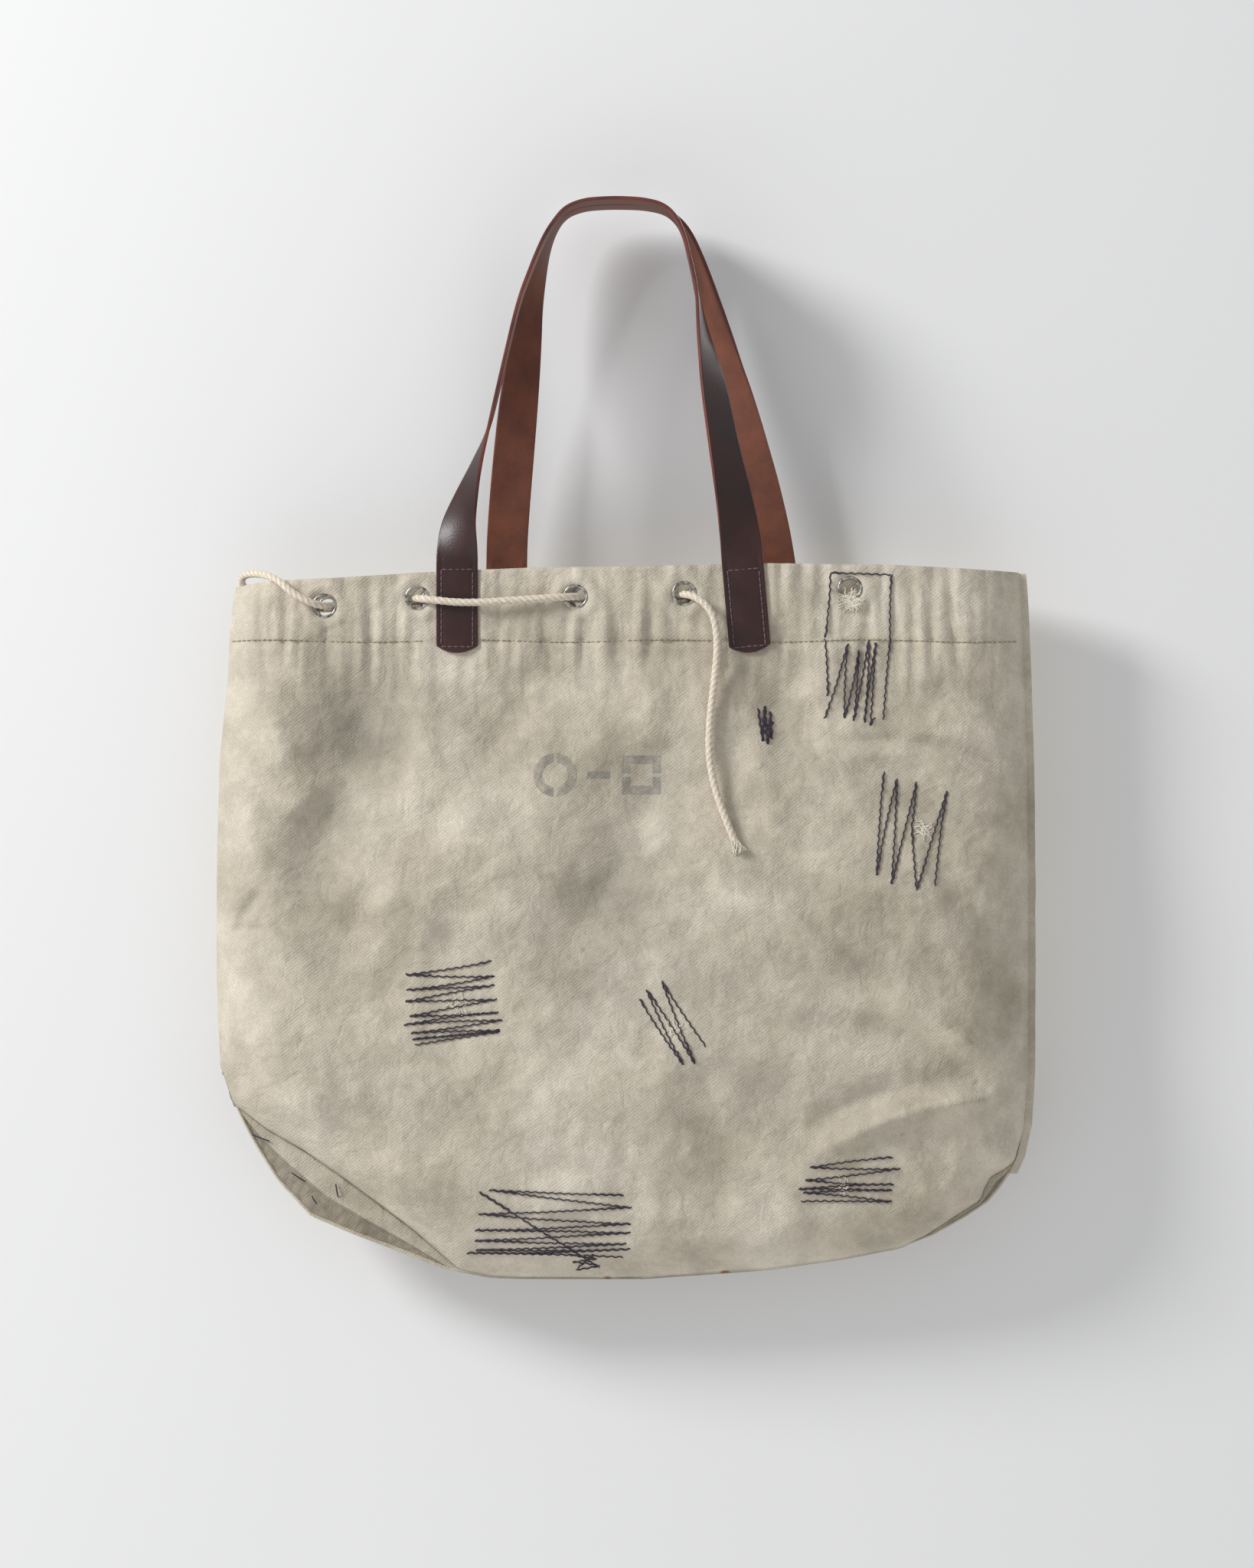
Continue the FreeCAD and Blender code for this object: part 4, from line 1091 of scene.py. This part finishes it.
# long hand-sewn strokes, as x and z, each list running from turn to turn
mends = {
    "left": [(-79.3, -471.6), (-132.7, -479.8), (-77.4, -480.8), (-132.2, -489.4), (-77.4, -486.5),
             (-132.7, -496.6), (-76, -495.2), (-130.3, -505.8), (-75, -503.4), (-133.7, -511.1),
             (-72.6, -508.2), (-129.3, -516.3), (-74, -514.4), (-128.4, -520.2), (-74, -515.4),
             (-126.9, -523.6)],
    "middle": [(13.5, -495.2), (40.9, -536.1), (17.8, -489.4), (48.1, -535.6), (27.4, -484.1),
               (55.3, -525)],
    "bottomLeft": [(3.4, -618.3), (-80.8, -614.9), (8.2, -626), (-87.5, -630.3), (7.7, -636.5),
                   (-89.9, -640.9), (7.7, -642.3), (-89.9, -647.6), (5.3, -649.5), (-89.4, -653.8),
                   (7.7, -652.9), (-95.2, -655.8), (3.4, -658.2)],
    "bottomLeftLong": [(-87, -616.3), (-11.5, -665.4)],
    "bottomLeftScribble": [(-30.3, -656.7), (-13, -659.1), (-28.4, -661.5), (-11.1, -663.9),
                           (-26.4, -666.8), (-14.9, -655.8)],
    "bottomRight": [(171.6, -594.2), (120.2, -600.5), (176.4, -601.4), (117.3, -608.7), (172.6, -611.5),
                    (113, -614.4), (171.6, -615.4), (115.9, -616.8), (171.6, -622.6), (114.4, -622.1)],
    "right": [(166.3, -353.4), (161.5, -417.8), (174.5, -357.7), (170.7, -423.1), (187, -359.1),
              (183.7, -388.5), (186.5, -426.9), (205.8, -365.4), (198.1, -424.5)],
    "patch": [(131.2, -305.8), (129.8, -269.2), (133.2, -228.4), (171.2, -229.4), (170.7, -269.2),
              (166.3, -320.7)],
    "underEyelet": [(129.3, -319.7), (143.8, -273.1), (141.8, -319.7), (151, -276.9), (147.6, -321.2),
                    (157.2, -270.7), (154.3, -322.1), (161.5, -272.1), (158.2, -324), (161.1, -318.8)],
    "small": [(88, -313.5), (90.9, -333.7), (92.3, -312), (93.8, -335.6), (95.7, -315.4), (96.6, -332.2),
              (89.4, -325), (97.6, -322.6)],
}
mendLook = {"radius": 0.46, "lift": 0.32, "step": 1.3, "bow": 0.9, "wave": 0.42, "period": 5.2, "arch": 0.25}


def mendStrands(turns):
    # a stroke lies on the cloth, bows a little sideways and is pulled in at its turns
    look = mendLook
    strands = []
    for (ax, az), (bx, bz) in zip(turns, turns[1:]):
        reach = math.hypot(bx - ax, bz - az)
        count = max(4, int(reach / look["step"]))
        bow = random.uniform(-1, 1) * look["bow"] * min(1.0, reach / 40)
        share = np.linspace(0, 1, count + 1)
        side = np.sin(share * math.pi) * bow
        side += look["wave"] * np.sin(share * reach / look["period"] * 2 * math.pi + random.uniform(0, 6))
        x = ax + (bx - ax) * share + side * -(bz - az) / reach
        z = az + (bz - az) * share + side * (bx - ax) / reach
        rise = look["lift"] + look["arch"] * np.sin(share * math.pi)
        rise[0], rise[-1] = -0.5, -0.5
        y = clothY("front", x, z) - rise
        strands.append([tuple(p) for p in np.stack([x, y, z], 1)])
        # one end of a long stroke is gone over twice
        if reach > 30:
            near = max(3, int(count * random.uniform(0.18, 0.34)))
            again = np.stack([x[:near] + 0.4, y[:near] - 0.25, z[:near] + 0.35], 1)
            strands.append([tuple(p) for p in again])
    return strands


def buildMend(name, keys, radius=mendLook["radius"]):
    strands = []
    for key in keys:
        strands += mendStrands(mends[key])
    return threadPiece(name, strands, radius, mendThread)


mendPieces = {
    "mend_left": buildMend("long_darn_left", ["left"]),
    "mend_middle": buildMend("darn_middle", ["middle"]),
    "mend_bottom_left": buildMend("darn_bottom_left", ["bottomLeft", "bottomLeftLong", "bottomLeftScribble"]),
    "mend_bottom_right": buildMend("darn_bottom_right", ["bottomRight"]),
    "mend_right": buildMend("darn_right", ["right"]),
    "mend_small": buildMend("darn_small", ["small"], 0.75),
    "mend_under_eyelet": buildMend("darn_under_eyelet", ["underEyelet"]),
    "patch_stitching": buildMend("eyelet_patch_stitches", ["patch"], 0.45),
}

# a few strokes over the folded corner, at the lower left
cornerStrokes = [((-230.8, -581.7), (-219.7, -586.0)), ((-205.8, -605.8), (-197.1, -611.5)),
                 ((-193.0, -620.5), (-190.0, -625.5)), ((-178.0, -613.0), (-176.5, -621.0))]
cornerStrands = [[(ax, -2.2, az), ((ax + bx) / 2, -4.2, (az + bz) / 2), (bx, -2.2, bz)]
                 for (ax, az), (bx, bz) in cornerStrokes]
cornerStitches = threadPiece("corner_strokes", cornerStrands, mendLook["radius"], mendThread)


def paleTangle(name, centre, spread, count, radius, reach):
    # loose pale threads of worn cloth round a hole or a thin place
    strands = []
    for _ in range(count):
        x, z = centre[0] + random.uniform(-spread, spread), centre[1] + random.uniform(-spread, spread)
        way = random.uniform(0, 2 * math.pi)
        strand = []
        for k in range(5):
            y = float(clothY("front", x, z, 0.25 + 0.35 * math.sin(k / 4 * math.pi))[0])
            strand.append((x, y, z))
            way += random.uniform(-0.7, 0.7)
            x += math.cos(way) * reach / 4
            z += math.sin(way) * reach / 4
        strands.append(strand)
    return threadPiece(name, strands, radius, paleThread)


fifthRing = rings["front"][4]
wornPatches = [paleTangle(*row) for row in (
    # name, middle x and z, spread, threads, radius, length
    ("worn_threads_right", (190.2, -388), 3.4, 34, 0.26, 6.0),
    ("worn_threads_left", (-100, -498), 4.2, 30, 0.24, 5.5),
    ("worn_threads_middle", (34.6, -514), 3.2, 24, 0.24, 5.0),
    ("worn_threads_bottom_right", (141, -613), 3.6, 26, 0.24, 5.0),
    ("torn_threads_under_fifth_eyelet", (fifthRing[0] + 0.5, fifthRing[1] - 8.0), 3.4, 80, 0.3, 6.0),
)]
print("stage: stitches and mends")

eyeletLook = {
    # radius and height over the cloth, round the section of a rolled eyelet and of its washer
    "section": [(7.85, 0.02), (7.86, 0.22), (7.66, 0.48), (7.2, 0.64), (6.75, 0.66), (6.35, 0.52),
                (6.1, 0.22), (6.02, -0.25), (6.0, -1.4), (6.02, -2.9), (6.2, -3.5), (6.7, -3.62),
                (7.1, -3.4), (6.75, -3.1), (6.6, -2.6), (6.6, -0.05), (7.2, -0.02)],
    "washer": [(7.8, -3.0), (7.85, -2.85), (7.8, -2.5), (6.66, -2.5), (6.66, -3.05), (7.4, -3.12)],
    "around": 64, "lean": 0.03, "patchDepth": 1.0, "backFrom": -1.5,
}


def ringPiece(name, section, extra):
    # a ring turned from its section, facing the front; extra makes it reach through thicker cloth
    obj = gridPiece(eyeletLook["around"], len(section))
    s, t = gridShares(obj)
    rows = len(section)
    index = np.rint(t * rows).astype(int) % rows
    pts = np.array(section, float)
    turn = (s + 1) * math.pi
    height = pts[index, 1] - np.where(pts[index, 1] < eyeletLook["backFrom"], extra, 0.0)
    radius = pts[index, 0] * (1 + 0.006 * np.sin(3 * turn + 1.0))
    setPoints(obj, np.stack([radius * np.cos(turn), -height, radius * np.sin(turn)], 1) * mm)
    bpy.ops.object.mode_set(mode="EDIT")
    bpy.ops.mesh.select_all(action="SELECT")
    bpy.ops.mesh.remove_doubles(threshold=0.00001)
    bpy.ops.mesh.normals_make_consistent(inside=False)
    bpy.ops.object.mode_set(mode="OBJECT")
    obj.name = name
    smooth(obj, 50)
    useMaterials(obj, ringSteel)
    return obj


ringPieces = []
washerPieces = {"front": [], "back": []}
for side, number, x, y, z in eyelets:
    turnRound = 0.0 if side == "front" else math.pi
    extra = eyeletLook["patchDepth"] if side == "front" and number == 5 else 0.0
    for kind in ("section", "washer"):
        ring = ringPiece(f"{side}_{kind}_{number}", eyeletLook[kind], extra)
        pick(ring)
        ring.rotation_euler = (eyeletLook["lean"] * math.sin(number * 2.3), 0, turnRound)
        ring.location = (x * mm, y * mm, z * mm)
        bpy.ops.object.transform_apply(location=True, rotation=True, scale=False)
        if kind == "section":
            ringPieces.append((side, number, ring))
        else:
            washerPieces[side].append(ring)


def joined(objs, name):
    bpy.ops.object.select_all(action="DESELECT")
    for obj in objs:
        obj.select_set(True)
    bpy.context.view_layer.objects.active = objs[0]
    bpy.ops.object.join()
    obj = bpy.context.object
    obj.name = name
    return obj


frontWashers = joined(washerPieces["front"], "front_washers")
backWashers = joined(washerPieces["back"], "back_washers")
print("stage: eyelets")

knotLook = {"centre": (77.6, 28.9, -244.3), "size": 1.32, "cord": 2.35, "steps": 120, "around": 14}
frayLook = {"length": 9.0, "strands": 76, "radius": 0.26, "core": 2.1, "spread": 5.2, "inside": 1.2}


def buildKnot():
    # an overhand stopper knot pulled tight, laid cord all through
    look = knotLook
    cx, cy, cz = look["centre"]
    line = []
    for k in range(look["steps"] + 1):
        t = 2 * math.pi * k / look["steps"]
        px = math.sin(t) + 2 * math.sin(2 * t)
        py = math.cos(t) - 2 * math.cos(2 * t)
        pz = -1.5 * math.sin(3 * t)
        line.append(Vector((cx + look["size"] * pz, cy + look["size"] * py, cz + look["size"] * px)) * mm)

    def lay(turn, gone):
        return cordRadius(turn, gone) * look["cord"] * mm * 2 / cordLook["diameter"]

    obj = tubeMesh("stopper_knot", line, lay, look["around"])
    useMaterials(obj, cordCotton)
    return obj


def buildFray():
    # the lay opens and the yarns spread
    look = frayLook
    tip = Vector(cordRoute[-1]) / mm
    way = (Vector(cordRoute[-1]) - Vector(cordRoute[-2])).normalized()
    across = way.orthogonal().normalized()
    other = way.cross(across)
    strands = []
    for k in range(look["strands"]):
        turn = k * 2.4
        start = look["core"] * math.sqrt((k + 0.5) / look["strands"])
        end = start / look["core"] * look["spread"] * random.uniform(0.75, 1.0)
        reach = look["length"] * random.uniform(0.72, 1.0)
        strand = []
        for share in (0.0, 0.3, 0.55, 0.8, 1.0):
            out = start + (end - start) * share ** 1.3
            bend = turn + 0.5 * share + 0.3 * math.sin(share * 6 + k)
            place = tip - way * look["inside"] + way * (reach + look["inside"]) * share
            place += (across * math.cos(bend) + other * math.sin(bend)) * out
            place.y = min(place.y, float(clothY("front", place.x, place.z, 0.5)[0]))
            strand.append(tuple(place))
        strands.append(strand)
    return threadPiece("frayed_cord_end", strands, look["radius"], paleThread)


stopperKnot = buildKnot()
frayedEnd = buildFray()
print("stage: knot and frayed end")

# each piece rides on its body and stands for its CAD nodes
wallParts = ("panel", "side_left", "side_right", "foot", "corner_left", "corner_right")
finishRows = [(piece, side + "_canvas", "canvas", *(f"{side}_{part}" for part in wallParts))
              for side, piece in (("front", frontPanel), ("back", backPanel))]
finishRows += [
    # piece, its name, its material slot, the nodes it stands for
    (frontFacing, "front_hem_lining", "canvas", "front_facing"),
    (backFacing, "back_hem_lining", "canvas", "back_facing"),
    (basePiece, "quilted_base", "base_canvas", "base_panel"),
    (sideSeam, "felled_side_seam", "canvas", "side_seam"),
    (patchPiece, "eyelet_backing", "canvas", "eyelet_patch"),
    (hemStitches, "hem_stitches", "hem_thread", "hem_stitching"),
    (frontTabStitches, "front_tab_stitches", "handle_thread", "front_tab_stitching"),
    (backTabStitches, "back_tab_stitches", "handle_thread", "back_tab_stitching"),
]
finishRows += [(piece, piece.name, "mending_thread", node) for node, piece in mendPieces.items()]
finishRows += [(piece, piece.name, "canvas") for piece in wornPatches]
finishRows.append((cornerStitches, "corner_strokes", "mending_thread"))
finishRows += [(ring, f"{side}_grommet_{number}", "eyelet_steel", f"{side}_eyelet_{number}")
               for side, number, ring in ringPieces]
finishRows += [
    (frontWashers, "front_washers", "eyelet_steel", "front_eyelet_washers"),
    (backWashers, "back_washers", "eyelet_steel", "back_eyelet_washers"),
    (drawstring, "drawstring_cord", "cotton_cord", "drawstring"),
    (stopperKnot, "stopper_knot", "cotton_cord", "drawstring_knot"),
    (frayedEnd, "frayed_cord_end", "cotton_cord", "drawstring_frayed_end"),
]
for piece, name, slotName, *nodes in finishRows:
    finishPiece(piece, name, slotName, *nodes)
    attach(piece, "sack")
# each handle stands for its strap and both tab nodes, and its place is baked into its mesh
for side, strap, y in (("front", frontStrap, -0.0231), ("back", backStrap, 0.0231)):
    nodes = [side + "_handle_strap", side + "_tab_left", side + "_tab_right"]
    finishPiece(strap, side + "_leather_handle", "dark_leather", *nodes)
    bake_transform(strap)


# metres; the wall stands just behind the sack and the floor well below it
stageLook = {"wallY": 0.050, "wallZ": 1.7, "wallSize": 6.0, "floorZ": -1.30, "floorSize": 12.0}


def buildStage():
    # a pale wall and floor; the wall is clear from behind and throws no shadow or light on the sack
    look = stageLook
    wall, tree, surface = newMaterial("pale_wall", 0.95, {"Base Color": hexColour("#EDEDED"),
                                                           "Specular IOR Level": 0.0})
    geometry = addNode(tree, "NewGeometry")
    clear = addNode(tree, "BsdfTransparent")
    seen = addNode(tree, "MixShader", {0: (geometry, "Backfacing"), 1: (surface, "BSDF"),
                                       2: (clear, "BSDF")})
    out = [n for n in tree.nodes if n.bl_idname == "ShaderNodeOutputMaterial"][0]
    tree.links.new(seen.outputs[0], out.inputs["Surface"])
    bpy.ops.mesh.primitive_plane_add(size=look["wallSize"], location=(0, look["wallY"], look["wallZ"]),
                                     rotation=(math.pi / 2, 0, 0))
    backWall = bpy.context.object
    backWall.name = "wall"
    useMaterials(backWall, wall)
    backWall.visible_shadow = False
    backWall.visible_diffuse = False
    backWall.visible_glossy = False
    pale = newMaterial("pale_floor", 0.9, {"Base Color": hexColour("#E6E6E6")})[0]
    bpy.ops.mesh.primitive_plane_add(size=look["floorSize"], location=(0, 0, look["floorZ"]))
    floor = bpy.context.object
    floor.name = "floor"
    useMaterials(floor, pale)


def softLight(place, size, power):
    bpy.ops.object.light_add(type="AREA", location=place)
    lamp = bpy.context.object
    lamp.data.shape = "DISK"
    lamp.data.size = size
    lamp.data.energy = power
    lamp.rotation_euler = (Vector((0, 0, -0.40)) - lamp.location).to_track_quat("-Z", "Y").to_euler()


def buildLights():
    softLight((-2.5, -1.45, 1.3), 1.0, 86)  # the window side
    softLight((1.3, 2.6, 1.1), 1.6, 46)  # from behind, for the back
    world = bpy.data.worlds.new("room") if not bpy.context.scene.world else bpy.context.scene.world
    bpy.context.scene.world = world
    world.use_nodes = True
    background = [n for n in world.node_tree.nodes if n.bl_idname == "ShaderNodeBackground"][0]
    background.inputs["Color"].default_value = hexColour("#F4F5F7")
    background.inputs["Strength"].default_value = 0.54


buildStage()
buildLights()
print("stage: wall and lights")
